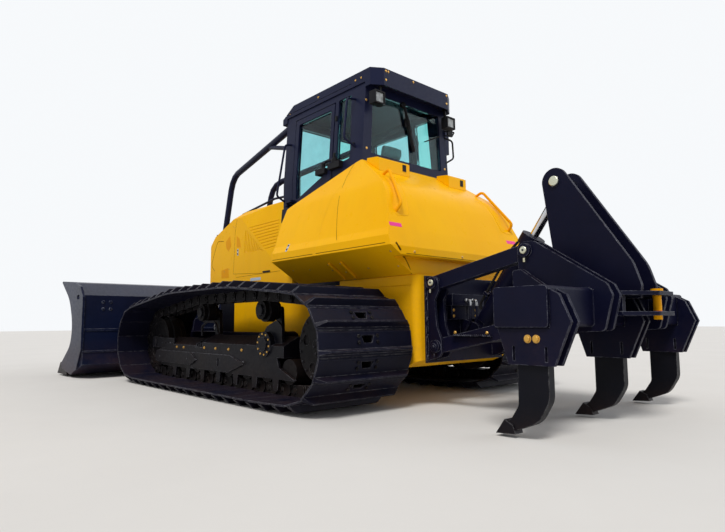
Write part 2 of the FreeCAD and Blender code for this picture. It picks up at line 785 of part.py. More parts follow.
def idlers():
    """Front wheels with a guiding flange, a dished outer side and a hub between the yoke's plates."""
    tread = running_radius(IDLER_X, IDLER_Z)
    centre = (IDLER_X, IDLER_Z)
    outer = TRACK_Y + TREAD_HALF
    wheel = rod_y(centre, tread, TRACK_Y - TREAD_HALF, outer)
    flange = rod_y(centre, tread + FLANGE_HEIGHT, TRACK_Y - FLANGE_HALF, TRACK_Y + FLANGE_HALF)
    hub = rod_y(centre, IDLER_HUB, FRAME_IN + YOKE_PLATE + GAP, FRAME_OUT - YOKE_PLATE - GAP)
    well = rod_y(centre, tread - IDLER_RIM, outer - IDLER_DISH, outer + OVER)
    well = well.cut(rod_y(centre, IDLER_CENTRE, outer - IDLER_DISH - OVER, outer + 2.0 * OVER))
    return both_sides(solid_of(fuse([wheel, flange, hub]).cut(well)))


def roller_xs():
    step = (ROLLER_LAST_X - ROLLER_FIRST_X) / (ROLLER_COUNT - 1)
    return [ROLLER_FIRST_X + step * index for index in range(ROLLER_COUNT)]


def track_rollers():
    """Rollers between the guards, and the carrier rollers under the upper run."""
    end = FRAME_HALF - GUARD_PLATE - GAP
    solids = []
    for x in roller_xs():
        solids.append(rod_y((x, ROLLER_Z), running_radius(x, ROLLER_Z), TRACK_Y - end, TRACK_Y + end))
    for x, z in CARRIER_PLACES:
        radius = running_radius(x, z)
        tread = rod_y((x, z), radius, TRACK_Y - CARRIER_HALF, TRACK_Y + CARRIER_HALF)
        flange = rod_y((x, z), radius + FLANGE_HEIGHT, TRACK_Y - FLANGE_HALF, TRACK_Y + FLANGE_HALF)
        shaft = rod_y((x, z), CARRIER_SHAFT, FRAME_IN + CARRIER_POST_INSET + CARRIER_POST + GAP, TRACK_Y)
        solids.append(fuse([tread, flange, shaft]))
    return [copy for solid in solids for copy in both_sides(solid)]


def beam_length(x0, x1, side_top, ridge):
    """Stretch of the roller frame's beam: upright sides and a top that sheds dirt to both sides."""
    section = [(FRAME_IN, FRAME_LOW), (FRAME_OUT, FRAME_LOW), (FRAME_OUT, side_top), (TRACK_Y, ridge),
               (FRAME_IN, side_top)]
    return plate_x(section, x0, x1)


def guard_outline(front, ribs):
    """Side outline of a roller guard, with a rib hanging between each pair of rollers where asked."""
    outline = [(BEAM_START + 102.0, FRAME_LOW + OVER), (BEAM_START + 71.0, 300.0), (320.0, 215.0),
               (320.0, GUARD_LOW)]
    xs = roller_xs()
    if ribs:
        for rear, ahead in zip(xs, xs[1:]):
            middle = (rear + ahead) / 2.0
            outline += [(middle - GUARD_RIB_TOP_HALF, GUARD_LOW), (middle - GUARD_RIB_LOW_HALF, GUARD_RIB_LOW),
                        (middle + GUARD_RIB_LOW_HALF, GUARD_RIB_LOW), (middle + GUARD_RIB_TOP_HALF, GUARD_LOW)]
    outline += [(front + 70.0, GUARD_LOW), (front + 190.0, GUARD_LOW + 70.0), (front + 190.0, FRAME_LOW - 6.0),
                (front - OVER, FRAME_LOW + 20.0)]
    return outline


def guard_layers():
    """The two pointed plates that lie on the outer guard, the rear one with its port."""
    top = FRAME_LOW - 10.0
    low = GUARD_LOW + 8.0
    middle = (top + low) / 2.0 + 8.0
    tip = NECK_START - 860.0
    front_tip = NECK_START + 76.0
    rear = [(tip, middle), (tip + 250.0, top), (front_tip + 136.0, top), (front_tip + 136.0, low),
            (tip + 280.0, low)]
    ahead = [(front_tip, middle), (front_tip + 132.0, top), (FRONT_LAYER_END, top), (FRONT_LAYER_END + 70.0, middle),
             (FRONT_LAYER_END, low + 30.0), (front_tip + 128.0, low + 30.0)]
    x, z = GUARD_PORT
    port = [(x - GUARD_PORT_HALF, z - 2.5 * GUARD_PORT_RISE, GUARD_PORT_HALF - OVER),
            (x + GUARD_PORT_HALF, z - 2.5 * GUARD_PORT_RISE, GUARD_PORT_HALF - OVER),
            (x + GUARD_PORT_HALF, z + 2.5 * GUARD_PORT_RISE, GUARD_PORT_HALF - OVER),
            (x - GUARD_PORT_HALF, z + 2.5 * GUARD_PORT_RISE, GUARD_PORT_HALF - OVER)]
    first = plate_y(rear, FRAME_OUT - OVER, FRAME_OUT + GUARD_LAYER)
    first = first.cut(plate_y(port, FRAME_OUT, FRAME_OUT + 2.0 * GUARD_LAYER))
    return [first, plate_y(ahead, FRAME_OUT - OVER, FRAME_OUT + 2.0 * GUARD_LAYER)]


FRONT_LAYER_END = 3040.0


def carrier_post(x, z):
    outline = [(x - 60.0, FRAME_LOW + 40.0), (x + 60.0, FRAME_LOW + 40.0), (x + 36.0, z + 36.0, 34.0),
               (x - 36.0, z + 36.0, 34.0)]
    low = FRAME_IN + CARRIER_POST_INSET
    return plate_y(outline, low, low + CARRIER_POST)


def track_frame(side):
    """Beam of three stretches with its guards, idler yoke, carrier posts and pivot cover."""
    front = IDLER_X - running_radius(IDLER_X, IDLER_Z) - IDLER_ROOM
    pieces = [beam_length(BEAM_START, NECK_START, BEAM_SIDE_TOP, BEAM_RIDGE),
              beam_length(NECK_START - OVER, RECOIL_START + OVER, NECK_SIDE_TOP, NECK_RIDGE),
              beam_length(RECOIL_START, front, RECOIL_SIDE_TOP, RECOIL_RIDGE)]
    for x in NECK_RIBS:
        rise = NECK_RIB_TOP - NECK_RIDGE
        pieces.append(beam_length(x, x + NECK_RIB, NECK_SIDE_TOP + rise, NECK_RIB_TOP))
    pieces.append(plate_y(guard_outline(front, True), FRAME_OUT - GUARD_PLATE, FRAME_OUT))
    pieces.append(plate_y(guard_outline(front, False), FRAME_IN, FRAME_IN + GUARD_PLATE))
    pieces += guard_layers()
    yoke = [(YOKE_REAR, YOKE_LOW), (IDLER_X + 90.0, IDLER_Z - 62.0, 40.0), (IDLER_X + 90.0, IDLER_Z + 62.0, 40.0),
            (front + 130.0, YOKE_TOP), (YOKE_REAR, YOKE_TOP)]
    pieces.append(plate_y(yoke, FRAME_OUT - YOKE_PLATE, FRAME_OUT))
    pieces.append(plate_y(yoke, FRAME_IN, FRAME_IN + YOKE_PLATE))
    pieces += [carrier_post(x, z) for x, z in CARRIER_PLACES]
    fin = [(887.0, BEAM_SIDE_TOP - 30.0), (887.0, 520.0, 30.0), (795.0, 640.0, 60.0), (640.0, 698.0, 60.0),
           (556.0, 640.0, 50.0), (545.0, FRAME_LOW + OVER)]
    pieces.append(plate_y(fin, FIN_PLATE_OUT - FIN_PLATE, FIN_PLATE_OUT))
    pivot = (PIVOT_X, PIVOT_Z)
    pieces.append(rod_y(pivot, PIVOT_COVER, FRAME_IN, FRAME_OUT + PIVOT_COVER_HEIGHT))
    pieces.append(rod_y(pivot, PIVOT_CAP, FRAME_OUT, FRAME_OUT + 2.0 * PIVOT_COVER_HEIGHT))
    frame = fuse(pieces).cut(rod_y(YOKE_BOLT, YOKE_BOLT_RADIUS, FRAME_OUT - YOKE_PLATE / 2.0, FRAME_OUT + OVER))
    return place_side(solid_of(frame), side)


def cross_shafts():
    """Pivot shafts and the bar under the body that carry the two roller frames."""
    inner = FRAME_IN - GAP
    solids = both_sides(rod_y((PIVOT_X, PIVOT_Z), PIVOT_SHAFT, FRAME_BODY_HALF + GAP, inner))
    solids.append(rod_y((PIVOT_X, EQUALIZER_Z), EQUALIZER_RADIUS, -inner, inner))
    return solids


# Case, main frame and engine

def rear_case():
    """Transmission case with rounded rear corners, a sloped chin and a joint line below the deck."""
    plan = [(CASE_REAR, -CASE_HALF, CASE_CORNER), (CASE_FRONT, -CASE_HALF), (CASE_FRONT, CASE_HALF),
            (CASE_REAR, CASE_HALF, CASE_CORNER)]
    case = plate_z(plan, CASE_LOW, DECK_Z)
    length, height = CASE_RELIEF
    chin = [(CASE_REAR - OVER, CASE_LOW - OVER), (CASE_REAR + length, CASE_LOW - OVER),
            (CASE_REAR - OVER, CASE_LOW + height)]
    case = case.cut(plate_y(chin, -CASE_HALF - OVER, CASE_HALF + OVER))
    for side in SIDES:
        edge = side * CASE_HALF
        case = case.cut(box(CASE_REAR + CASE_CORNER, CASE_FRONT + OVER, edge - side * CASE_SEAM, edge + side * OVER,
                            CASE_SEAM_Z, CASE_SEAM_Z + CASE_SEAM))
    return solid_of(case)


def main_frame():
    """Two side plates with a belly plate, cross members and the stub pins of the C-frame."""
    wall = FRAME_BODY_WALL
    floor = FRAME_BODY_LOW + FRAME_BODY_FLOOR
    profile = [(CASE_FRONT, FRAME_BODY_LOW), (FRAME_BODY_FRONT - FRAME_BODY_CHIN, FRAME_BODY_LOW),
               (FRAME_BODY_FRONT, FRAME_BODY_LOW + FRAME_BODY_CHIN), (FRAME_BODY_FRONT, DECK_Z),
               (CASE_FRONT, DECK_Z)]
    inside = FRAME_BODY_HALF - wall
    body = plate_y(profile, -FRAME_BODY_HALF, FRAME_BODY_HALF)
    body = body.cut(box(CASE_FRONT + wall, FRAME_BODY_FRONT - wall, -inside, inside, floor, DECK_Z + OVER))
    pieces = [body]
    for x in CROSS_MEMBERS:
        pieces.append(box(x, x + CROSS_MEMBER, -inside - OVER, inside + OVER, floor - OVER, ENGINE_LOW - GAP))
    pivot = (ARM_PIVOT_X, ARM_PIVOT_Z)
    for side in SIDES:
        root = side * (FRAME_BODY_HALF - OVER)
        pieces.append(rod_y(pivot, ARM_BOSS, root, side * (ARM_IN - EAR_GAP)))
        pieces.append(rod_y(pivot, ARM_PIN, root, side * (ARM_OUT + LIFT_EAR)))
    return fuse(pieces)


def engine_block():
    return box(ENGINE_REAR, ENGINE_REAR + ENGINE_LENGTH, -ENGINE_HALF, ENGINE_HALF,
               ENGINE_LOW, ENGINE_LOW + ENGINE_HEIGHT)


# Hood and grille

def hood_outline(inset):
    """Side outline of the hood, moved inwards by inset except along its open bottom."""
    return [(HOOD_REAR + inset, DECK_Z), (HOOD_FRONT - inset, DECK_Z),
            (HOOD_FRONT - inset, HOOD_NOSE_Z - HOOD_NOSE_DROP - inset, HOOD_NOSE_ROUND),
            (HOOD_NOSE_X - inset, HOOD_NOSE_Z - inset, HOOD_NOSE_ROUND),
            (HOOD_BEND_X - inset, HOOD_TOP - inset, HOOD_BEND_ROUND), (HOOD_REAR + inset, HOOD_TOP - inset)]


def crease_cutter(inset, side):
    """Slab outside the leaning upper part of the hood's side, which meets the upright part at the crease."""
    half = HOOD_HALF - inset
    front = vec(CREASE_FRONT[0], half, CREASE_FRONT[1])
    rear = vec(CREASE_REAR[0], half, CREASE_REAR[1])
    corner = vec(HOOD_REAR, half - CREASE_TAPER, HOOD_TOP)
    along = (front - rear).normalize()
    normal = along.cross(corner - rear).normalize()
    if normal.y < 0:
        normal = normal * -1.0
    across = normal.cross(along).normalize()
    if across.z < 0:
        across = across * -1.0
    start = rear - along * FAR
    end = rear + along * FAR
    points = [start, end, end + across * FAR, start + across * FAR, start]
    slab = Part.Face(Part.makePolygon(points)).extrude(normal * HOOD_HALF)
    return place_side(slab, side)


def hood_body(inset):
    """Outer form of the hood, moved inwards by inset."""
    half = HOOD_HALF - inset
    top = HOOD_TOP - inset
    section = mirrored([(half, DECK_Z - OVER), (half, top - HOOD_EDGE_DROP), (half - HOOD_EDGE, top)])
    body = plate_y(hood_outline(inset), -half, half)
    body = body.common(plate_x(section, HOOD_REAR - OVER, HOOD_FRONT + OVER))
    for side in SIDES:
        body = body.cut(crease_cutter(inset, side))
    return solid_of(body)


def crease_height(x):
    """Level of the crease at a place along the hood."""
    share = (x - CREASE_REAR[0]) / (CREASE_FRONT[0] - CREASE_REAR[0])
    return CREASE_REAR[1] + share * (CREASE_FRONT[1] - CREASE_REAR[1])


def louvre_strip(start, end):
    """Slot of the louvre's width between two (x, z) points."""
    along = vec(end[0] - start[0], 0, end[1] - start[1]).normalize()
    across = vec(-along.z, 0, along.x) * (LOUVRE_WIDTH / 2.0)
    first = vec(start[0], 0, start[1])
    last = vec(end[0], 0, end[1])
    points = [first + across, last + across, last - across, first - across]
    return [(point.x, point.z) for point in points]


def louvre_slots():
    """Slots of the side louvres: level ones above the crease and steep ones below it."""
    strips = []
    top = 1820.0
    low = 1520.0
    rear = 1790.0
    front = 2480.0
    z = top
    while z > low:
        # the row ends beside the crease
        end = CREASE_REAR[0] + (z - CREASE_REAR[1]) * (CREASE_FRONT[0] - CREASE_REAR[0]) / (CREASE_FRONT[1] - CREASE_REAR[1])
        strips.append(louvre_strip((rear, z), (end - LOUVRE_STEP, z - 20.0)))
        z -= LOUVRE_STEP
    x = front
    while x > rear + 8.0 * LOUVRE_STEP:
        high = min(top - 40.0, crease_height(x) - 2.0 * LOUVRE_STEP)
        strips.append(louvre_strip((x, low - 10.0), (x - 30.0, high)))
        x -= LOUVRE_STEP
    return [plate_y(strip, 0.0, HOOD_HALF + OVER) for strip in strips]


def hood():
    shell = hood_body(0.0).cut(hood_body(HOOD_WALL))
    window = box(HOOD_FRONT - 5.0 * HOOD_WALL, HOOD_FRONT + OVER, -HOOD_HALF + GRILLE_SIDE, HOOD_HALF - GRILLE_SIDE,
                 DECK_Z + GRILLE_LOW, HOOD_NOSE_Z - GRILLE_DROP)
    bottom = box(HOOD_REAR - OVER, HOOD_FRONT - HOOD_WALL, -HOOD_HALF + HOOD_WALL, HOOD_HALF - HOOD_WALL,
                 DECK_Z - OVER, DECK_Z + OVER)
    slots = Part.makeCompound(louvre_slots()).cut(hood_body(LOUVRE_DEPTH))
    for side in SIDES:
        shell = shell.cut(place_side(slots, side))
    return solid_of(shell.cut(window).cut(bottom))


def grille():
    """Slatted radiator guard in the hood's front, with the ears of the lift cylinders."""
    y = HOOD_HALF - GRILLE_SIDE - GAP
    low = DECK_Z + GRILLE_LOW + GAP
    high = HOOD_NOSE_Z - GRILLE_DROP - GAP
    rim = GRILLE_RIM
    rear = HOOD_FRONT - GRILLE_DEPTH
    frame = box(rear, HOOD_FRONT, -y, y, low, high)
    pieces = [frame.cut(box(rear - OVER, HOOD_FRONT + OVER, -y + rim, y - rim, low + rim, high - rim))]
    step = (high - low - 2.0 * rim) / GRILLE_SLATS
    for index in range(GRILLE_SLATS):
        z = low + rim + step * (index + 0.5)
        pieces.append(box(rear + SLAT_INSET, HOOD_FRONT - SLAT_INSET, -y + rim - OVER, y - rim + OVER,
                          z - SLAT_HALF, z + SLAT_HALF))
    end = TRUNNION_EAR_END
    root = HOOD_FRONT - GRILLE_DEPTH / 2.0
    ear = [(root, LIFT_TOP_Z - 2.0 * end), (LIFT_X + end, LIFT_TOP_Z - end, end - OVER),
           (LIFT_X + end, LIFT_TOP_Z + end, end - OVER), (root, LIFT_TOP_Z + 2.0 * end)]
    for centre in (LIFT_Y, -LIFT_Y):
        for y0 in (centre + LIFT_COLLAR + EAR_GAP, centre - LIFT_COLLAR - EAR_GAP - TRUNNION_EAR):
            plate = plate_y(ear, y0, y0 + TRUNNION_EAR)
            hole = rod_y((LIFT_X, LIFT_TOP_Z), LIFT_PIVOT + PIN_GAP, y0 - OVER, y0 + TRUNNION_EAR + OVER)
            pieces.append(plate.cut(hole))
    return fuse(pieces)


# Tank and fenders

def shell_solid():
    """Outer form of the tank and both fenders together."""
    side = [(TANK_REAR, TANK_LOW - TANK_LIP, 10.0), (TANK_REAR, TANK_LOW), (TANK_CREASE_X, TANK_CREASE_Z, 40.0),
            (-290.0, 1790.0, 500.0), (CAB_REAR - 20.0, TANK_TOP, 60.0), (250.0, TANK_TOP - 20.0),
            (FENDER_FRONT - 30.0, FENDER_FRONT_TOP, 30.0), (FENDER_FRONT, FENDER_NOSE),
            (FENDER_FRONT, DECK_Z + GAP), (CASE_REAR + 20.0, DECK_Z + GAP), (CASE_REAR + 20.0, TANK_LOW - TANK_LIP)]
    section = mirrored([(CASE_HALF + 20.0, DECK_Z), (TANK_HALF, TANK_LOW), (TANK_HALF, TANK_SIDE_LOW),
                        (TANK_HALF - 32.0, TANK_CREASE_Z, 60.0), (790.0, 1800.0, 400.0),
                        (CAB_HALF + CAB_ROOM, TANK_TOP, 20.0)])
    body = plate_y(side, -TANK_HALF, TANK_HALF).common(plate_x(section, TANK_REAR - OVER, FENDER_FRONT + OVER))
    room = CAB_HALF + CAB_ROOM
    return body.cut(box(CAB_REAR - CAB_ROOM, FAR, -room, room, DECK_Z - OVER, TANK_TOP + OVER))


def seam_region(shift):
    """Everything behind the curved joint between the tank and the fenders."""
    outline = [(TANK_REAR - OVER, 0.0), (SEAM_X + shift, 0.0), (SEAM_X + shift, SEAM_Z, 500.0),
               (SEAM_TOP_X + shift, SEAM_TOP_Z), (TANK_REAR - OVER, SEAM_TOP_Z)]
    return plate_y(outline, -TANK_HALF - OVER, TANK_HALF + OVER)


def fuel_tank():
    return solid_of(shell_solid().common(seam_region(-GAP)))


def fender(side):
    body = shell_solid().cut(seam_region(GAP))
    left = box(-FAR, FAR, 0.0, FAR, 0.0, FAR)
    return place_side(solid_of(body.common(left)), side)


def tank_fittings():
    """Two lamp housings on the tank behind the cab."""
    tank = shell_solid()
    tank.translate(vec(-GAP, 0, GAP))
    solids = []
    for y0, y1 in LAMP_BOX_SPANS:
        end = LAMP_BOX_X + LAMP_BOX_LENGTH
        outline = [(LAMP_BOX_X, LAMP_BOX_LOW - 30.0), (LAMP_BOX_X, LAMP_BOX_TOP - 12.0), (LAMP_BOX_X + 20.0, LAMP_BOX_TOP),
                   (end, LAMP_BOX_TOP + 14.0), (end, LAMP_BOX_LOW)]
        solids.append(solid_of(plate_y(outline, y0, y1).cut(tank)))
    return solids


# Cab

def cab_prism(inset):
    half = mirrored([(CAB_HALF - inset, CAB_FLOOR), (CAB_HALF - inset, CAB_WAIST), (CAB_TOP_HALF - inset, CAB_TOP)])
    return plate_x(half, CAB_REAR + inset, CAB_FRONT - inset)


def cab_walls():
    return cab_prism(0.0).cut(cab_prism(CAB_WALL))


def door_outline(inset, rear_inset):
    """Side outline of the door opening: its lower edge follows the fender down to the step."""
    rear = DOOR_REAR + rear_inset
    return [(rear, DOOR_TOP - inset), (rear, DOOR_REAR_LOW + inset), (DOOR_LEG_X + inset, DOOR_LEG_Z + inset),
            (DOOR_LEG_X + inset, DOOR_LOW + inset), (DOOR_FRONT - inset, DOOR_LOW + inset),
            (DOOR_FRONT - inset, DOOR_TOP - inset)]


def side_cutter(outline, side):
    """Outline of an opening, reaching through one side wall."""
    return plate_y(outline, side * CAB_WALL, side * (CAB_HALF + CAB_WALL))


def jamb(rear, low, high, side):
    """Wedge that slopes the edge behind the door's lower part, so that the leaf can swing out past it."""
    y = CAB_HALF - CAB_WALL
    return place_side(plate_z([(rear, y), (rear, CAB_HALF), (rear - JAMB_FLARE, CAB_HALF)], low, high), side)


def quarter_outline(inset):
    """Opening of the fixed quarter glass behind the door."""
    round_ = GLASS_CORNER
    return [(QUARTER_REAR + inset, QUARTER_LOW + 15.0 + inset, round_), (QUARTER_FRONT - inset, QUARTER_LOW - 15.0 + inset, round_),
            (QUARTER_FRONT - inset, DOOR_TOP - inset, round_), (QUARTER_REAR + 20.0 + inset, DOOR_TOP - inset, round_)]


def end_outline(window, inset):
    """Opening of the front or rear window, narrower at its top."""
    half, low, high = window
    round_ = GLASS_CORNER
    right = [(half - inset, low + inset, round_), (half - WINDOW_TAPER - inset, high - inset, round_)]
    return mirrored(right)


def pane_outline(inset):
    """Opening of the door's glass."""
    inset += DOOR_FRAME
    round_ = GLASS_CORNER
    return [(DOOR_REAR + inset, DOOR_TOP - inset, round_), (DOOR_REAR + inset, DOOR_PANE_REAR_LOW + inset, round_),
            (DOOR_LEG_X + 20.0, DOOR_PANE_LEG + inset, round_), (DOOR_FRONT - inset, DOOR_PANE_FRONT_LOW + inset, round_),
            (DOOR_FRONT - inset, DOOR_TOP - inset, round_)]


def cab_frame():
    """Cab shell with its openings, and the hinge blocks and pins of the doors."""
    walls = cab_walls()
    for side in SIDES:
        walls = walls.cut(side_cutter(door_outline(0.0, 0.0), side))
        walls = walls.cut(jamb(DOOR_LEG_X, DOOR_LOW, DOOR_LEG_Z + 2.0 * SWING_GAP, side))
        walls = walls.cut(side_cutter(quarter_outline(0.0), side))
    walls = walls.cut(plate_x(end_outline(REAR_WINDOW, 0.0), CAB_REAR - OVER, CAB_REAR + CAB_WALL + OVER))
    walls = walls.cut(plate_x(end_outline(FRONT_WINDOW, 0.0), CAB_FRONT - CAB_WALL - OVER, CAB_FRONT + OVER))
    pieces = [solid_of(walls)]
    for side in SIDES:
        for z in DOOR_HINGES:
            low = z - HINGE_BLOCK - EAR_GAP * 2.0
            pieces.append(box(DOOR_HINGE_X - EAR_GAP, DOOR_HINGE_X + 40.0, side * (CAB_HALF - CAB_WALL / 2.0),
                              side * (DOOR_HINGE_Y + 10.0), low, low + HINGE_BLOCK))
            pieces.append(rod_z(DOOR_HINGE_X, side * DOOR_HINGE_Y, HINGE_RADIUS, low, low + 2.0 * HINGE_BLOCK))
    return fuse(pieces)


def door(side):
    """Door leaf with the opening of its glass and its two hinge arms."""
    leaf = cab_walls().common(side_cutter(door_outline(SWING_GAP, DOOR_REAR_GAP), side))
    wedge = jamb(DOOR_LEG_X + SWING_GAP, DOOR_LOW + SWING_GAP, DOOR_LEG_Z - SWING_GAP, side)
    leaf = solid_of(leaf.fuse(wedge).removeSplitter()).cut(side_cutter(pane_outline(0.0), side))
    pieces = [leaf]
    face = CAB_HALF + HINGE_PAD
    rear = DOOR_FRONT - DOOR_FRAME + EAR_GAP
    for z in DOOR_HINGES:
        arm = box(rear, DOOR_HINGE_X + HINGE_REACH, side * face, side * (DOOR_HINGE_Y + HINGE_REACH), z, z + HINGE_ARM)
        pad = box(rear, DOOR_FRONT - 20.0, side * (CAB_HALF - HINGE_PAD), side * (face + OVER), z, z + HINGE_ARM)
        bore = rod_z(DOOR_HINGE_X, side * DOOR_HINGE_Y, HINGE_RADIUS + PIN_GAP, z - HINGE_ARM, z + 2.0 * HINGE_ARM)
        pieces.append(fuse([arm, pad]).cut(bore))
    return fuse(pieces)


def pane(outline, side):
    """Flat glass in the side wall, in the middle of the wall's thickness."""
    middle = (CAB_WALL - GLASS) / 2.0
    skin = cab_prism(middle).cut(cab_prism(middle + GLASS))
    return solid_of(skin.common(side_cutter(outline, side)))


def door_glass(side):
    return pane(pane_outline(GAP), side)


def cab_glass():
    solids = [pane(quarter_outline(GAP), side) for side in SIDES]
    for window, x in ((REAR_WINDOW, CAB_REAR + CAB_WALL / 2.0), (FRONT_WINDOW, CAB_FRONT - CAB_WALL / 2.0)):
        solids.append(plate_x(end_outline(window, GAP), x - GLASS / 2.0, x + GLASS / 2.0))
    return solids


def roof_plan(inset, front):
    """Plan of the roof with its cut rear corners, moved inwards by inset."""
    right = [(ROOF_REAR + inset, ROOF_HALF - ROOF_CORNER), (ROOF_REAR + ROOF_CORNER_LENGTH + inset, ROOF_HALF - inset),
             (front, ROOF_HALF - inset)]
    return right + [(x, -y) for x, y in reversed(right)]


def cab_roof():
    """Roof plate with a sloped nose over the windscreen and a rear visor that is open below."""
    low = CAB_TOP + GAP
    roof = plate_z(roof_plan(0.0, ROOF_NOSE), low, ROOF_TOP)
    slope = [(ROOF_FRONT, ROOF_TOP), (ROOF_FRONT, ROOF_TOP + OVER), (ROOF_NOSE + OVER, ROOF_TOP + OVER),
             (ROOF_NOSE + OVER, ROOF_NOSE_TOP)]
    roof = roof.cut(plate_y(slope, -ROOF_HALF - OVER, ROOF_HALF + OVER))
    lip = [(CAB_FRONT + GAP, low + OVER), (CAB_FRONT + GAP, VISOR_LOW), (ROOF_NOSE, ROOF_NOSE_LOW), (ROOF_NOSE, low + OVER)]
    skirt = plate_z(roof_plan(0.0, CAB_REAR - EAR_GAP), VISOR_LOW, low + OVER)
    skirt = skirt.cut(plate_z(roof_plan(VISOR_SHEET, CAB_REAR), VISOR_LOW - OVER, low))
    body = fuse([roof, skirt, plate_y(lip, -ROOF_HALF, ROOF_HALF)])
    for side in SIDES:
        edge = side * ROOF_HALF
        body = body.cut(box(ROOF_GROOVE_X, ROOF_NOSE + OVER, edge - side * ROOF_GROOVE, edge + side * OVER,
                            ROOF_GROOVE_Z, ROOF_GROOVE_Z + ROOF_GROOVE))
    return solid_of(body)


def cab_floor():
    """Floor inside the walls, on the box that carries the cab on the frame."""
    half = CAB_HALF - CAB_WALL - GAP
    ends = CAB_WALL + GAP
    floor = box(CAB_REAR + ends, CAB_FRONT - ends, -half, half, CAB_FLOOR, CAB_FLOOR + FLOOR_THICK)
    base = box(CAB_REAR + BASE_INSET, CAB_FRONT - BASE_INSET, -BASE_HALF, BASE_HALF, DECK_Z + GAP, CAB_FLOOR)
    return fuse([floor, base])


def consoles():
    """Arm consoles with their levers, and the instrument panel."""
    solids = []
    middle = (CONSOLE_IN + CONSOLE_OUT) / 2.0
    top = CAB_DECK + CONSOLE_TOP
    outline = [(520.0, CAB_DECK), (1000.0, CAB_DECK), (1040.0, top - 70.0), (1040.0, top + 10.0), (520.0, top - 10.0)]
    for side in SIDES:
        arm = plate_y(outline, side * CONSOLE_IN, side * CONSOLE_OUT)
        stick = rod_z(STICK_X, side * middle, STICK_RADIUS, top - 2.0 * OVER, top + STICK_HEIGHT)
        knob = rod_z(STICK_X, side * middle, KNOB_RADIUS, top + STICK_HEIGHT - KNOB_HEIGHT, top + STICK_HEIGHT)
        solids.append(fuse([arm, stick, knob]))
    wall = CAB_FRONT - CAB_WALL - GAP
    dash = [(wall - 260.0, CAB_DECK + 560.0), (wall - 140.0, CAB_DECK), (wall, CAB_DECK), (wall, CAB_DECK + 640.0)]
    solids.append(plate_y(dash, -DASH_HALF, DASH_HALF))
    return solids


def seat_base():
    pedestal = plate_y([(520.0, CAB_DECK), (860.0, CAB_DECK), (840.0, SEAT_Z - 30.0), (540.0, SEAT_Z - 30.0)], -200.0, 200.0)
    pan = box(SEAT_REAR, SEAT_FRONT - 10.0, -SEAT_HALF, SEAT_HALF, SEAT_Z - 30.0 - OVER, SEAT_Z)
    return fuse([pedestal, pan])


def seat():
    low = SEAT_Z + GAP
    outline = [(SEAT_REAR, low, 20.0), (SEAT_FRONT, low, 40.0), (SEAT_FRONT, SEAT_Z + 120.0, 50.0),
               (SEAT_REAR + 90.0, SEAT_Z + 110.0), (SEAT_REAR, SEAT_Z + 560.0, 40.0),
               (SEAT_REAR - 90.0, SEAT_Z + 560.0, 40.0)]
    return plate_y(outline, -SEAT_HALF, SEAT_HALF)


# Fittings

def sweep_guard():
    """Bent tubes from the cab to the hood with their braces, and the low rails on the hood."""
    face = CAB_FRONT + GAP
    outside = hood_body(-GAP)
    bar = tube([(face, *SWEEP_TOP), SWEEP_CORNER, SWEEP_FOOT], SWEEP_RADIUS, SWEEP_BEND)
    brace = rod_between((face, SWEEP_TOP[0], BRACE_LOW), BRACE_TOP, BRACE_RADIUS)
    behind = box(face - 2.0 * CAB_WALL, face, 0.0, FAR, BRACE_LOW - 2.0 * CAB_WALL, ROOF_TOP)
    flange = box(face, face + FLANGE_THICK, *FLANGE_Y, *FLANGE_Z)
    guard = fuse([bar, brace, flange]).cut(behind).cut(outside)
    rail = tube([(x, HOOD_RAIL_Y, z) for x, z in HOOD_RAIL], RAIL_RADIUS, RAIL_BEND)
    above = [piece for piece in rail.cut(outside).Solids if piece.BoundBox.ZMax > HOOD_TOP]
    return both_sides(solid_of(guard)) + both_sides(above[0])


def tank_handrails():
    """Grab rails down both rear corners of the tank."""
    bar = tube(TANK_RAIL, RAIL_RADIUS, RAIL_BEND)
    tank = shell_solid()
    tank.translate(vec(-GAP, 0, 0))
    return both_sides(solid_of(bar.cut(tank)))


def cab_fittings():
    """Grab handles at the corners of the cab, and the mirror on its right side."""
    body = cab_prism(-GAP)
    solids = []
    for path in (REAR_HANDLE, FRONT_HANDLE):
        solids += both_sides(solid_of(tube(path, HANDLE_RADIUS, RAIL_BEND).cut(body)))
    arm = rod_between(*MIRROR_ARM, HANDLE_RADIUS)
    mirror = box(*MIRROR_X, *MIRROR_Y, *MIRROR_Z)
    solids.append(solid_of(fuse([arm, mirror]).cut(body)))
    return solids


def work_lamps():
    """Lamps that hang below the rear visor."""
    solids = []
    stem_x = sum(LAMP_X) / 2.0
    stem_y = LAMP_Y[0] + LAMP_STEM
    for side in SIDES:
        low, high = sorted((side * LAMP_Y[0], side * LAMP_Y[1]))
        body = box(*LAMP_X, low, high, *LAMP_Z)
        lens = box(LAMP_X[0] - OVER, LAMP_X[0] + LAMP_LENS, low + 2.0 * LAMP_LENS, high - 2.0 * LAMP_LENS,
                   LAMP_Z[0] + 2.0 * LAMP_LENS, LAMP_Z[1] - 2.0 * LAMP_LENS)
        stem = box(stem_x - LAMP_STEM / 2.0, stem_x + LAMP_STEM / 2.0, side * stem_y - LAMP_STEM / 2.0,
                   side * stem_y + LAMP_STEM / 2.0, LAMP_Z[1] - OVER, CAB_TOP)
        solids.append(fuse([body.cut(lens), stem]))
    return solids


def exhaust_stack():
    x, y = STACK_PLACE
    low = HOOD_TOP + GAP
    stack = rod_z(x, y, STACK_RADIUS, low, low + STACK_HEIGHT)
    tail = Part.makeCylinder(TAIL_RADIUS, TAIL_LENGTH, vec(x, y, low + STACK_HEIGHT - OVER), vec(-TAIL_LEAN, 0, 1))
    return fuse([stack, tail])


# Blade and C-frame

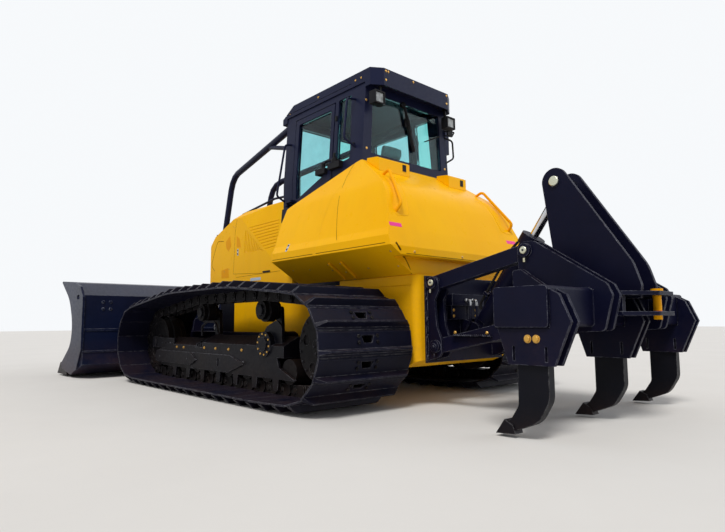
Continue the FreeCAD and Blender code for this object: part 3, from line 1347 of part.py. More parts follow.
def c_frame():
    """Two arms and a cross member with the blade's nose, the lift cylinders' ears and the tilt cylinder's ears."""
    z = ARM_PIVOT_Z
    low = z - ARM_HALF_HEIGHT
    high = z + ARM_HALF_HEIGHT
    arm = [(ARM_PIVOT_X - ARM_END, low, 90.0), (CROSS_FRONT, low), (CROSS_FRONT, high), (ARM_PIVOT_X - ARM_END, high, 90.0)]
    cross = [(CROSS_REAR, low), (CROSS_FRONT, low), (CROSS_FRONT, high), (CROSS_REAR + CROSS_CHAMFER, high),
             (CROSS_REAR, high - CROSS_CHAMFER)]
    pieces = [plate_y(arm, side * ARM_IN, side * ARM_OUT) for side in SIDES]
    pieces.append(plate_y(cross, -ARM_IN - OVER, ARM_IN + OVER))
    pieces.append(rod_between((CROSS_FRONT - OVER, 0, z), (CROSS_FRONT + NOSE_FLANGE_LENGTH, 0, z), NOSE_FLANGE))
    pieces.append(rod_between((CROSS_FRONT, 0, z), (NOSE_END, 0, z), NOSE_RADIUS))
    end = LIFT_EAR_END
    ear = [(LIFT_EYE_X - end, LIFT_EYE_Z - end, end - 5.0), (CROSS_REAR + OVER, low),
           (CROSS_REAR + OVER, high - CROSS_CHAMFER), (LIFT_EYE_X - end, LIFT_EYE_Z + end, end - 5.0)]
    reach = LIFT_EYE_HALF + EAR_GAP
    for centre in (LIFT_Y, -LIFT_Y):
        for y0 in (centre + reach, centre - reach - LIFT_EAR):
            pieces.append(plate_y(ear, y0, y0 + LIFT_EAR))
    y, tilt_z = TILT_BASE
    tilt_ear = [(y - 55.0, z + 20.0), (y + 85.0, z + 20.0), (y + 50.0, tilt_z + 45.0, TILT_BASE_RADIUS),
                (y - 50.0, tilt_z + 45.0, TILT_BASE_RADIUS)]
    outer = TILT_EAR_IN + TILT_EAR
    for x0 in (TILT_X - outer, TILT_X + TILT_EAR_IN):
        pieces.append(plate_x(tilt_ear, x0, x0 + TILT_EAR))
    pieces.append(box(CROSS_FRONT - OVER, TILT_X + outer, y - 55.0, y + 85.0, z + 20.0, z + 70.0))
    pieces.append(rod_between((TILT_X - outer, y, tilt_z), (TILT_X + outer, y, tilt_z), TILT_PIN))
    body = fuse(pieces)
    for side in SIDES:
        body = body.cut(rod_y((ARM_PIVOT_X, z), ARM_PIN + PIN_GAP, side * (ARM_IN - 5.0), side * (ARM_OUT + 5.0)))
    return solid_of(body)


def blade_outline(inset):
    """Section of the blade: curved front, sloped upper back and upright back, moved inwards at the back."""
    b = BLADE_REAR + inset
    top = BLADE_TOP - inset / 2.0
    return [(b, BLADE_LOW), (b + 390.0, 40.0), (BLADE_REAR + 800.0, 105.0), (BLADE_REAR + 845.0, 160.0),
            (BLADE_REAR + 420.0, 420.0, 300.0), (BLADE_REAR + 395.0, 700.0, 400.0), (BLADE_REAR + 560.0, 990.0, 500.0),
            (BLADE_REAR + 960.0, top - 15.0), (BLADE_REAR + 930.0, top), (b + 380.0, top - 50.0), (b, BLADE_BACK_TOP - inset)]


def blade():
    """Boxed blade between end plates, with ribs on its back, the hub of its nose and the tilt cylinder's ears."""
    b = BLADE_REAR
    proud = BLADE_END_PROUD
    inside = BLADE_HALF - BLADE_END
    body = plate_y(blade_outline(0.0), -inside - OVER, inside + OVER)
    end = [(b - proud, BLADE_LOW + 190.0), (b + 150.0, BLADE_LOW - 60.0)] + blade_outline(0.0)[1:-2]
    end += [(b + 380.0, BLADE_TOP - 40.0), (b - proud + 120.0, BLADE_BACK_TOP + 110.0), (b - proud, BLADE_BACK_TOP - 20.0)]
    slot_x, slot_z = LIFT_SLOT
    half = LIFT_SLOT_LENGTH / 2.0
    radius = LIFT_SLOT_RADIUS
    slot = [(slot_x - half, slot_z - radius, radius - OVER), (slot_x + half, slot_z - radius, radius - OVER),
            (slot_x + half, slot_z + radius, radius - OVER), (slot_x - half, slot_z + radius, radius - OVER)]
    pieces = [body]
    for side in SIDES:
        plate = plate_y(end, side * inside, side * BLADE_HALF)
        pieces.append(plate)
    for y, z, height in BLADE_RIBS:
        pieces.append(box(b - BLADE_RIB, b + OVER, y, -y, z, z + height))
    pieces.append(rod_between((NOSE_END - NOSE_HUB_DEPTH, 0, ARM_PIVOT_Z), (b + 20.0, 0, ARM_PIVOT_Z), NOSE_RADIUS + NOSE_HUB_WALL))
    y, z = TILT_EYE
    outer = TILT_EAR_IN + TILT_EAR
    wide = 60.0
    for x0 in (TILT_X - outer, TILT_X + TILT_EAR_IN):
        pieces.append(box(x0, x0 + TILT_EAR, y - wide, y + wide, z - wide, z + wide))
    pieces.append(box(TILT_X - outer, b + OVER, y - wide, y - 1.5 * wide, z - wide, z + wide))
    pieces.append(box(TILT_X + outer - OVER, b + OVER, y - wide, y + wide, z - wide, z + wide))
    solid = fuse(pieces)
    solid = solid.cut(rod_between((NOSE_END - NOSE_HUB_DEPTH - 10.0, 0, ARM_PIVOT_Z), (NOSE_END + EAR_GAP, 0, ARM_PIVOT_Z),
                                  NOSE_RADIUS + PIN_GAP))
    for side in SIDES:
        solid = solid.cut(plate_y(slot, side * (inside + BLADE_END / 2.0), side * (BLADE_HALF + OVER)))
        for y, z in blade_bolts(side):
            solid = solid.cut(rod_between((b - OVER, y, z), (b + BOLT_DEPTH, y, z), BOLT_RADIUS))
    return solid_of(solid)


def blade_bolts(side):
    places = []
    for dy in (-BOLT_SPACING_Y / 2.0, BOLT_SPACING_Y / 2.0):
        for dz in (-BOLT_SPACING_Z / 2.0, BOLT_SPACING_Z / 2.0):
            places.append((side * BOLT_Y + dy, BOLT_Z + dz))
    return places


def cutting_edge():
    b = BLADE_REAR
    outline = [(b + 560.0, 25.0), (b + 1000.0, 25.0), (b + 870.0, 175.0), (b + 845.0 + GAP, 160.0),
               (b + 800.0 + GAP, 105.0 - GAP), (b + 560.0, 66.0)]
    return plate_y(outline, -BLADE_HALF, BLADE_HALF)


def lift_line(side, distance):
    """Point on a lift cylinder's centre line, measured from the trunnion towards the rod's eye."""
    start = vec(LIFT_X, side * LIFT_Y, LIFT_TOP_Z)
    axis = (vec(LIFT_EYE_X, side * LIFT_Y, LIFT_EYE_Z) - start).normalize()
    return start + axis * distance


def lift_round(side, radius, first, last):
    """Round bar on a lift cylinder's centre line, between two distances from the trunnion."""
    start = lift_line(side, first)
    return Part.makeCylinder(radius, last - first, start, lift_line(side, last) - start)


def lift_barrel(side):
    y = side * LIFT_Y
    reach = LIFT_COLLAR + EAR_GAP + TRUNNION_EAR + EAR_GAP
    trunnion = rod_y((LIFT_X, LIFT_TOP_Z), LIFT_PIVOT, y - reach, y + reach)
    collar = lift_round(side, LIFT_COLLAR, -LIFT_COLLAR_HALF, LIFT_COLLAR_HALF)
    body = fuse([lift_round(side, LIFT_BARREL, -LIFT_CAP, LIFT_GLAND), trunnion, collar])
    body = body.cut(lift_round(side, LIFT_BORE, LIFT_CAP_WALL - LIFT_CAP, LIFT_GLAND - LIFT_GLAND_LENGTH))
    gland = lift_round(side, LIFT_ROD + PIN_GAP, LIFT_GLAND - 2.0 * LIFT_GLAND_LENGTH, LIFT_GLAND + OVER)
    return solid_of(body.cut(gland))


def lift_rod(side):
    y = side * LIFT_Y
    eye = rod_y((LIFT_EYE_X, LIFT_EYE_Z), LIFT_EYE_RADIUS, y - LIFT_EYE_HALF, y + LIFT_EYE_HALF)
    reach = math.dist((LIFT_X, LIFT_TOP_Z), (LIFT_EYE_X, LIFT_EYE_Z))
    top = reach - LIFT_ROD_LENGTH
    rod = lift_round(side, LIFT_ROD, top, reach)
    piston = lift_round(side, LIFT_BORE - GAP, top, top + LIFT_PISTON)
    return fuse([eye, rod, piston])


def cylinder_barrel(base, eye, radius, bore, rod, base_eye, closed, gland):
    """Barrel from its base eye towards the rod's eye; its closed end and gland lie at the given distances."""
    start = vec(*base)
    along = (vec(*eye) - start).normalize()
    body = Part.makeCylinder(radius, gland, start, along)
    inside = Part.makeCylinder(bore, gland - closed - 40.0, start + along * closed, along)
    mouth = Part.makeCylinder(rod + PIN_GAP, 80.0, start + along * (gland - 60.0), along)
    return body.fuse(base_eye).cut(inside).cut(mouth)


def cylinder_rod(base, eye, bore, rod, rod_eye, tail):
    """Rod with its piston; tail is the distance of the piston's face from the base eye."""
    start = vec(*base)
    end = vec(*eye)
    along = (end - start).normalize()
    length = start.distanceToPoint(end) - tail
    bar = Part.makeCylinder(rod, length, start + along * tail, along)
    piston = Part.makeCylinder(bore - GAP, 40.0, start + along * tail, along)
    return fuse([bar, piston, rod_eye])


def tilt_barrel():
    half = TILT_EYE_HALF
    eye = rod_between((TILT_X - half, *TILT_BASE), (TILT_X + half, *TILT_BASE), TILT_BASE_RADIUS)
    body = cylinder_barrel(TILT_START, TILT_END, TILT_BARREL, TILT_BORE, TILT_ROD, eye, TILT_CLOSED, TILT_GLAND)
    # the barrel is cut flat beside its eye, so that it fits between the ears
    wide = 2.0 * TILT_BARREL
    round_ = TILT_BASE_RADIUS + 18.0
    for x0, x1 in ((TILT_X + half, TILT_X + wide), (TILT_X - wide, TILT_X - half)):
        body = body.cut(rod_between((x0, *TILT_BASE), (x1, *TILT_BASE), round_))
    hole = rod_between((TILT_X - half - OVER, *TILT_BASE), (TILT_X + half + OVER, *TILT_BASE), TILT_PIN + PIN_GAP)
    return solid_of(body.cut(hole))


def tilt_rod():
    half = TILT_EYE_HALF
    eye = rod_between((TILT_X - half, *TILT_EYE), (TILT_X + half, *TILT_EYE), TILT_EYE_RADIUS)
    return cylinder_rod(TILT_START, TILT_END, TILT_BORE, TILT_ROD, eye, TILT_TAIL)


# Ripper

def ripper_mount():
    """Back plate on the case with the link plates and pins, the cylinder's ears and the valve blocks."""
    x = CASE_REAR
    weld = x - BACK_PLATE + OVER
    fx, fz = UPPER_FRONT
    lx, lz = LOWER_FRONT
    pieces = [box(x - BACK_PLATE, x, -BACK_HALF, BACK_HALF, BACK_LOW, DECK_Z - 10.0)]
    outline = [(weld, BACK_LOW + 20.0), (lx - 30.0, lz - 83.0), (lx - EYE_RADIUS, lz - 50.0), (lx - EYE_RADIUS, lz + 45.0),
               (lx - 10.0, 640.0), (fx - 12.0, 840.0), (fx - EYE_RADIUS, fz - 70.0), (fx - EYE_RADIUS, fz + 62.0, 50.0),
               (weld, fz + 40.0)]
    for side in SIDES:
        for y in (LINK_IN - GAP - PLATE, LINK_OUT + GAP):
            pieces.append(plate_y(outline, side * y, side * (y + PLATE)))
        for place in (UPPER_FRONT, LOWER_FRONT):
            pieces.append(rod_y(place, PIN_RADIUS, side * (LINK_IN - PLATE), side * (LINK_OUT + PLATE)))
            pieces.append(rod_y(place, PIN_HEAD, side * (LINK_OUT + PLATE), side * (LINK_OUT + PLATE + PIN_HEAD_LENGTH)))
    bx, bz = RIPPER_BASE
    ear = [(weld, bz - 110.0), (bx - 50.0, bz - 50.0, 48.0), (bx - 50.0, bz + 50.0, 48.0), (weld, bz + 110.0)]
    for side in SIDES:
        pieces.append(plate_y(ear, side * RIPPER_EYE_HALF, side * (RIPPER_EYE_HALF + RIPPER_EAR)))
    reach = RIPPER_EYE_HALF + RIPPER_EAR
    pieces.append(rod_y(RIPPER_BASE, PIN_RADIUS, -reach, reach))
    for y0, y1, z0, z1, depth in VALVE_BLOCKS:
        pieces.append(box(weld - depth, weld, y0, y1, z0, z1))
    return fuse(pieces)


def link_bar(front, rear, height, y0, y1):
    """Bar with round ends between two pins."""
    start = vec(front[0], 0, front[1])
    end = vec(rear[0], 0, rear[1])
    along = (end - start).normalize()
    across = vec(-along.z, 0, along.x) * (height / 2.0)
    corners = [start + across, end + across, end - across, start - across]
    bar = plate_y([(corner.x, corner.z) for corner in corners], y0, y1)
    return fuse([bar, rod_y(front, EYE_RADIUS, y0, y1), rod_y(rear, EYE_RADIUS, y0, y1)])


def drill_pins(body, places, y0, y1):
    for place in places:
        body = body.cut(rod_y(place, PIN_RADIUS + PIN_GAP, y0, y1))
    return body


def upper_links():
    bar = link_bar(UPPER_FRONT, UPPER_REAR, 2.0 * EYE_RADIUS, LINK_IN, LINK_OUT)
    return both_sides(solid_of(drill_pins(bar, (UPPER_FRONT, UPPER_REAR), LINK_IN - OVER, LINK_OUT + OVER)))


def link_place(distance, lift):
    """Point on the lower link, at a distance from its front pin and a height above its centre line."""
    angle = math.atan2(LINK_REACH[1], LINK_REACH[0])
    ux, uz = math.cos(angle), math.sin(angle)
    return (LOWER_FRONT[0] + ux * distance + uz * lift, LOWER_FRONT[1] + uz * distance - ux * lift)


def step_plate():
    """Step beside the left link, with a saw-toothed lower edge."""
    outline = [(STEP_FRONT, STEP_Z), (STEP_REAR, STEP_Z), (STEP_REAR, STEP_Z - STEP_DEPTH)]
    pitch = (STEP_FRONT - STEP_REAR) / STEP_TEETH
    for index in range(STEP_TEETH):
        x = STEP_REAR + pitch * index
        outline += [(x + pitch / 2.0, STEP_Z - STEP_DEPTH - 12.0), (x + pitch, STEP_Z - STEP_DEPTH)]
    return plate_y(outline, LINK_OUT - OVER, LINK_OUT + PLATE)


def lower_link():
    """Two bars with a tie plate between them, as one welded link."""
    tie = [link_place(LINK_TIE[0], -LINK_TIE_HALF), link_place(LINK_TIE[1], -LINK_TIE_HALF),
           link_place(LINK_TIE[1], LINK_TIE_HALF), link_place(LINK_TIE[0], LINK_TIE_HALF)]
    pieces = [link_bar(LOWER_FRONT, LOWER_REAR, 2.0 * EYE_RADIUS, side * LINK_IN, side * LINK_OUT) for side in SIDES]
    pieces.append(plate_y(tie, -LINK_IN - OVER, LINK_IN + OVER))
    body = fuse(pieces)
    for side in SIDES:
        body = drill_pins(body, (LOWER_FRONT, LOWER_REAR), side * (LINK_IN - OVER), side * (LINK_OUT + OVER))
    return solid_of(body)


def shank_bracket(y0, y1):
    """Pocket plate beside a shank: it hangs below the beam, wraps its rear and has two slots."""
    outline = [(BEAM_FRONT - 8.0, BEAM_LOW + OVER), (-1523.0, 424.0), (-1815.0, 424.0), (-1922.0, 669.0), (-1858.0, 822.0),
               (BEAM_REAR + OVER, 856.0), (BEAM_REAR + OVER, BEAM_LOW + OVER)]
    plate = plate_y(outline, y0, y1)
    for x in POCKET_SLOTS:
        plate = plate.cut(box(x - POCKET_SLOT_HALF, x + POCKET_SLOT_HALF, y0 - OVER, y1 + OVER, POCKET_SLOT_LOW, POCKET_SLOT_HIGH))
    return plate


def link_plate(y0, y1):
    """Plate that carries both rear link pins and wraps over the beam's top and rear."""
    ux, uz = UPPER_REAR
    lx, lz = LOWER_REAR
    outline = [(ux + 62.0, uz - 60.0), (ux + 62.0, uz + 62.0, 60.0), (ux - 62.0, uz + 62.0, 60.0), (BEAM_REAR - 90.0, BEAM_TOP + 26.0, 30.0),
               (BEAM_REAR - 124.0, BEAM_TOP - 45.0, 30.0), (BEAM_REAR - 66.0, BEAM_LOW - 26.0, 30.0), (BEAM_REAR + 40.0, BEAM_LOW - 34.0),
               (lx - 60.0, lz - 62.0), (lx + 62.0, lz - 62.0, 55.0), (lx + 62.0, lz + 80.0)]
    return plate_y(outline, y0, y1)


def tower_fin(side):
    """Tall plate that carries the cylinder's rod, round at its top and curved in at its rear foot."""
    px, pz = TOWER_PIN
    r = TOWER_ROUND
    outline = [(BEAM_FRONT + 30.0, BEAM_TOP - 30.0), (-1345.0, 1197.0), (px + r, pz - 6.0), (px + r, pz + r, r - OVER),
               (px - 50.0, pz + r, r - 8.0), (-1906.0, 1050.0, 300.0), (-1952.0, 900.0, 60.0), (-1945.0, BEAM_TOP - 60.0),
               (BEAM_REAR + 10.0, BEAM_TOP - 60.0), (BEAM_REAR + 10.0, BEAM_TOP - 30.0)]
    return plate_y(outline, side * TOWER_HALF_GAP, side * (TOWER_HALF_GAP + TOWER_PLATE))


def hitch_plates():
    """Two plates behind the beam with the posts between them."""
    plan = mirrored([(BEAM_REAR + OVER, HITCH_HALF), (BEAM_REAR - 110.0, HITCH_HALF), (HITCH_REACH, HITCH_NOSE, 40.0)])
    plan = [(x, y, *rest) for x, y, *rest in [(BEAM_REAR + OVER, HITCH_HALF), (BEAM_REAR - 110.0, HITCH_HALF), (HITCH_REACH, HITCH_NOSE, 40.0),
                                              (HITCH_REACH, -HITCH_NOSE, 40.0), (BEAM_REAR - 110.0, -HITCH_HALF), (BEAM_REAR + OVER, -HITCH_HALF)]]
    plates = [plate_z(plan, z, z + HITCH_PLATE) for z in (HITCH_TOP_Z, HITCH_LOW_Z)]
    for y in (-HITCH_HALF + 50.0, HITCH_HALF - 50.0):
        plates.append(box(BEAM_REAR - 100.0, BEAM_REAR - 100.0 + HITCH_POST, y - HITCH_POST, y + HITCH_POST,
                          HITCH_LOW_Z + OVER, HITCH_TOP_Z + OVER))
    return plates


def ripper_beam():
    """Beam with the shank pockets, link plates, gussets, tower fins and hitch, welded as one."""
    corner = BEAM_CORNER
    section = [(BEAM_FRONT, BEAM_LOW, corner), (BEAM_REAR, BEAM_LOW, corner), (BEAM_REAR, BEAM_TOP, corner), (BEAM_FRONT, BEAM_TOP, corner)]
    pieces = [plate_y(section, -BEAM_HALF, BEAM_HALF)]
    half = SHANK_HALF + GAP
    for y in SHANK_ROWS:
        pieces.append(shank_bracket(y + half, y + half + PLATE))
        pieces.append(shank_bracket(y - half - PLATE, y - half))
    inner = LINK_IN - GAP
    outer = LINK_OUT + GAP
    gusset = [(UPPER_REAR[0] + 78.0, BEAM_TOP - 80.0), (UPPER_REAR[0] + 78.0, GUSSET_TOP - 4.0, 20.0), (UPPER_REAR[0] + 15.0, GUSSET_TOP, 20.0),
              (BEAM_REAR + 260.0, BEAM_TOP - OVER), (BEAM_FRONT - 40.0, BEAM_TOP - 80.0)]
    for side in SIDES:
        pieces.append(link_plate(side * inner, side * (inner - PLATE)))
        pieces.append(link_plate(side * outer, side * (outer + PLATE)))
        pieces.append(plate_y(gusset, side * (outer + PLATE - OVER), side * (outer + 3.0 * PLATE)))
        for place in (UPPER_REAR, LOWER_REAR):
            pieces.append(rod_y(place, PIN_RADIUS, side * (inner - PLATE), side * (outer + PLATE)))
            pieces.append(rod_y(place, PIN_HEAD, side * (outer + PLATE - OVER), side * (outer + PLATE + PIN_HEAD_LENGTH)))
        pieces.append(tower_fin(side))
        pieces.append(rod_y(TOWER_PIN, TOWER_PIN_RADIUS, side * (TOWER_HALF_GAP + TOWER_PLATE - OVER),
                            side * (TOWER_HALF_GAP + TOWER_PLATE + HITCH_PIN_HEAD)))
    pieces += hitch_plates()
    body = fuse(pieces).cut(rod_z(HITCH_PIN_X, 0.0, HITCH_PIN + OVER, BEAM_LOW, ROOF_TOP))
    return solid_of(body)


def hitch_pin():
    top = HITCH_TOP_Z + HITCH_PLATE + GAP
    pin = rod_z(HITCH_PIN_X, 0.0, HITCH_PIN, HITCH_LOW_Z - HITCH_PIN_FOOT, top + OVER)
    head = rod_z(HITCH_PIN_X, 0.0, HITCH_PIN + HITCH_PIN_HEAD, top, top + HITCH_PIN_HEAD_HEIGHT)
    return fuse([pin, head])


def shanks():
    """Shanks that hang in the pockets and curve forward to their tips."""
    lift = SHANK_LIFT
    head = BEAM_LOW - SHANK_HEAD
    outline = [(SHANK_FRONT, head), (SHANK_REAR, head), (SHANK_REAR, 205.0 + lift, 120.0), (-1690.0, 78.0 + lift, 130.0),
               (-1565.0, 28.0 + lift), (-1500.0, 6.0 + lift), (-1480.0, 60.0 + lift), (-1520.0, 90.0 + lift),
               (SHANK_FRONT, 165.0 + lift, 60.0)]
    solids = []
    for y in SHANK_ROWS:
        solids.append(plate_y(outline, y - SHANK_HALF, y + SHANK_HALF).cut(tip_solid(y, GAP)))
    return solids


def tip_solid(y, grow):
    lift = SHANK_LIFT
    outline = [(-1413.0 + grow, -8.0 + lift - grow), (-1548.0 - grow, lift - grow), (-1530.0 - grow, 50.0 + lift),
               (-1475.0, 78.0 + lift + grow)]
    half = TIP_HALF + grow
    return plate_y(outline, y - half, y + half)


def shank_tips():
    return [tip_solid(y, 0.0) for y in SHANK_ROWS]


def ripper_barrel():
    """Barrel with a flat-sided base eye and a collar at its gland."""
    half = RIPPER_EYE_HALF - GAP
    eye = rod_y(RIPPER_BASE, RIPPER_EYE, -half, half)
    start = vec(*RIPPER_START)
    along = (vec(*RIPPER_END) - start).normalize()
    collar = Part.makeCylinder(RIPPER_COLLAR, RIPPER_COLLAR_LENGTH, start + along * (RIPPER_GLAND - RIPPER_COLLAR_LENGTH), along)
    body = cylinder_barrel(RIPPER_START, RIPPER_END, RIPPER_BARREL, RIPPER_BORE, RIPPER_ROD, fuse([eye]), RIPPER_CLOSED,
                           RIPPER_GLAND)
    mouth = Part.makeCylinder(RIPPER_BARREL - OVER, 2.0 * RIPPER_COLLAR_LENGTH, start + along * (RIPPER_GLAND - 2.0 * RIPPER_COLLAR_LENGTH), along)
    body = body.fuse(collar.cut(mouth)).removeSplitter()
    round_ = RIPPER_EYE + 37.0
    for y0, y1 in ((half, 2.0 * RIPPER_COLLAR), (-2.0 * RIPPER_COLLAR, -half)):
        body = body.cut(rod_y(RIPPER_BASE, round_, y0, y1))
    return solid_of(body.cut(rod_y(RIPPER_BASE, PIN_RADIUS + PIN_GAP, -RIPPER_COLLAR, RIPPER_COLLAR)))


def ripper_rod():
    half = TOWER_HALF_GAP - GAP
    eye = rod_y(TOWER_PIN, RIPPER_ROD_EYE, -half, half)
    return cylinder_rod(RIPPER_START, RIPPER_END, RIPPER_BORE, RIPPER_ROD, eye, RIPPER_TAIL)


# Output

def nodes():
    """Every node's name with the solids that it holds."""
    made = {
        "main_frame": main_frame(), "rear_case": rear_case(), "engine_block": engine_block(),
        "hood": hood(), "grille": grille(), "fuel_tank": fuel_tank(), "cab_frame": cab_frame(),
        "cab_roof": cab_roof(), "cab_floor": cab_floor(), "consoles": consoles(), "seat_base": seat_base(),
        "seat": seat(), "cab_glass": cab_glass(), "sweep_guard": sweep_guard(),
        "tank_handrails": tank_handrails(), "work_lamps": work_lamps(), "exhaust_stack": exhaust_stack(),
        "tank_fittings": tank_fittings(), "cab_fittings": cab_fittings(),
        "sprockets": sprockets(), "idlers": idlers(), "track_rollers": track_rollers(),
        "cross_shafts": cross_shafts(), "c_frame": c_frame(), "blade": blade(), "cutting_edge": cutting_edge(),
        "tilt_barrel": tilt_barrel(), "tilt_rod": tilt_rod(), "ripper_mount": ripper_mount(),
        "upper_links": upper_links(), "lower_link": lower_link(), "ripper_beam": ripper_beam(),
        "hitch_pin": hitch_pin(), "shanks": shanks(), "shank_tips": shank_tips(),
        "ripper_barrel": ripper_barrel(), "ripper_rod": ripper_rod(),
    }
    for name, side in (("left", LEFT), ("right", RIGHT)):
        made["track_" + name] = track_loop(side)
        made["track_frame_" + name] = track_frame(side)
        made["fender_" + name] = fender(side)
        made["door_" + name] = door(side)
        made["door_glass_" + name] = door_glass(side)
        made["lift_barrel_" + name] = lift_barrel(side)
        made["lift_rod_" + name] = lift_rod(side)
    return made


def export(made):
    os.makedirs("parts", exist_ok=True)
    groups = {}
    for name, solids in made.items():
        groups[name] = solids if isinstance(solids, list) else [solids]
    everything = Part.makeCompound([solid for solids in groups.values() for solid in solids])
    bounds = everything.BoundBox
    shift = vec(-(bounds.XMin + bounds.XMax) / 2.0, 0, 0)
    for name, solids in groups.items():
        shape = solids[0] if len(solids) == 1 else Part.makeCompound(solids)
        shape.translate(shift)
        shape.exportStep(os.path.join("parts", name + ".step"))
    print("moved by", round(shift.x, 3))


export(nodes())
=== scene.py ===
import json
import math
import bmesh
import bpy
from mathutils import Matrix, Vector


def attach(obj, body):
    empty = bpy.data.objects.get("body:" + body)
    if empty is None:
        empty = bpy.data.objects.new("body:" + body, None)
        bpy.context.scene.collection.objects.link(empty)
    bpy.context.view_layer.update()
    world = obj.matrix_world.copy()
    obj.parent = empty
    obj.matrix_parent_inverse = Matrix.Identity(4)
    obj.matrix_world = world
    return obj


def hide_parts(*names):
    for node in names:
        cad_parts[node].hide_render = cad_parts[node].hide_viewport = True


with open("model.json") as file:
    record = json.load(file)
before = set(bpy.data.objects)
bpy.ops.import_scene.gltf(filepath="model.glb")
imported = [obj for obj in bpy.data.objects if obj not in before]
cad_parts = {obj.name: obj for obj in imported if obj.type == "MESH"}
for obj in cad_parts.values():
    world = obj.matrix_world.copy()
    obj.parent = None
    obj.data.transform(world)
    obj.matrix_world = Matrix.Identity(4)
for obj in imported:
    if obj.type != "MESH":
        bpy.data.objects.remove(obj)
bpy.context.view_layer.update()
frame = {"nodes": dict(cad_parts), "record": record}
NODES = frame["nodes"]
MM = 1000.0  # millimetres in a metre
SHIFT = -1460.0  # from the build frame (X = 0 at the sprocket) to the row frame, mm
OUTSIDE = 1900.0  # mm, a distance beside and behind the machine that clears all of it
LEFT, RIGHT = 1.0, -1.0
BACKWARD = (-1, 0, 0)
UPWARD = (0, 0, 1)


def at(x, y, z):
    """A point given in millimetres in the build frame, in metres in the row frame."""
    return Vector(((x + SHIFT) / MM, y / MM, z / MM))


# Materials

def fill(made, **inputs):
    for key, value in inputs.items():
        made.inputs[key.replace("_", " ")].default_value = value
    return made


def node(tree, kind, **inputs):
    return fill(tree.nodes.new(kind), **inputs)


def map_range(tree, source, low, high, to_low=0.0, to_high=1.0):
    made = node(tree, "ShaderNodeMapRange", From_Min=low, From_Max=high, To_Min=to_low, To_Max=to_high)
    made.clamp = True
    tree.links.new(source, made.inputs["Value"])
    return made.outputs["Result"]


def math_node(tree, operation, a, b):
    made = tree.nodes.new("ShaderNodeMath")
    made.operation = operation
    made.use_clamp = operation in ("ADD", "MULTIPLY", "SUBTRACT")
    for socket, value in zip(made.inputs, (a, b)):
        if isinstance(value, (int, float)):
            socket.default_value = value
        else:
            tree.links.new(value, socket)
    return made.outputs[0]


def mix_colour(tree, factor, a, b):
    made = tree.nodes.new("ShaderNodeMix")
    made.data_type = "RGBA"
    tree.links.new(factor, made.inputs[0])
    for index, value in ((6, a), (7, b)):
        if isinstance(value, tuple):
            made.inputs[index].default_value = (*value, 1.0)
        else:
            tree.links.new(value, made.inputs[index])
    return made.outputs[2]


def noise(tree, coords, scale, detail=5.0, rough=0.6, stretch=None):
    made = node(tree, "ShaderNodeTexNoise", Scale=scale, Detail=detail, Roughness=rough)
    if stretch:
        scaled = node(tree, "ShaderNodeMapping", Scale=stretch)
        tree.links.new(coords, scaled.inputs["Vector"])
        coords = scaled.outputs["Vector"]
    tree.links.new(coords, made.inputs["Vector"])
    return made.outputs["Fac"]


def height_of(tree, vector):
    made = tree.nodes.new("ShaderNodeSeparateXYZ")
    tree.links.new(vector, made.inputs[0])
    return made.outputs["Z"]


def soft_edges(tree, radius):
    """The surface's direction with its sharp edges rounded off."""
    made = node(tree, "ShaderNodeBevel", Radius=radius)
    made.samples = 4
    return made.outputs[0]


def new_surface(name):
    """A material with its nodes, its shader and the object's own coordinates."""
    made = bpy.data.materials.new(name)
    made.use_nodes = True
    tree = made.node_tree
    coords = tree.nodes.new("ShaderNodeTexCoord").outputs["Object"]
    return made, tree, tree.nodes["Principled BSDF"], coords


def add_relief(tree, shader, height, strength, distance, normal=None):
    relief = node(tree, "ShaderNodeBump", Strength=strength, Distance=distance)
    tree.links.new(height, relief.inputs["Height"])
    if normal:
        tree.links.new(normal, relief.inputs["Normal"])
    tree.links.new(relief.outputs[0], shader.inputs["Normal"])


def settled_dust(tree, coords, normal, streak, on_top=0.0, all_over=0.0, near_floor=0.0, floor_reach=1.2):
    """How much earth lies on top faces, near the floor and all over, with runs down the sides."""
    top = map_range(tree, height_of(tree, normal), 0.25, 0.95, 0.0, on_top)
    low = map_range(tree, height_of(tree, coords), 0.0, floor_reach, near_floor, 0.0)
    total = math_node(tree, "ADD", math_node(tree, "ADD", top, low), all_over)
    patch = map_range(tree, noise(tree, coords, 3.1, 9.0, 0.68), 0.36, 0.66)
    grit = map_range(tree, noise(tree, coords, 45.0, 6.0, 0.7), 0.30, 0.62, 0.35, 1.0)
    dust = math_node(tree, "MULTIPLY", math_node(tree, "MULTIPLY", total, patch), grit)
    if streak:
        runs = noise(tree, coords, 9.0, 4.0, 0.5, (1.0, 1.0, 0.06))
        runs = map_range(tree, runs, 0.52, 0.72, 0.0, streak)
        dust = math_node(tree, "ADD", dust, math_node(tree, "MULTIPLY", runs, grit))
    return dust


def worn_edges(tree, coords, normal, reach, amount):
    """How far the edges are rubbed bare, in broken patches."""
    turn = tree.nodes.new("ShaderNodeVectorMath")
    turn.operation = "DOT_PRODUCT"
    tree.links.new(soft_edges(tree, reach), turn.inputs[0])
    tree.links.new(normal, turn.inputs[1])
    edge = map_range(tree, turn.outputs["Value"], 0.97, 0.80)
    rubbed = map_range(tree, noise(tree, coords, 22.0, 6.0, 0.7), 0.40, 0.62)
    return math_node(tree, "MULTIPLY", math_node(tree, "MULTIPLY", edge, rubbed), amount)


EARTH = (0.20, 0.105, 0.060)
DUST_ROUGHER = 0.45  # added to the roughness where earth lies
WEAR_SMOOTHER = 0.1  # taken off it where the paint is rubbed away
WEAR_REACH = 1.6  # width of a rubbed edge against the bevel
RELIEF_DEPTH = 0.004


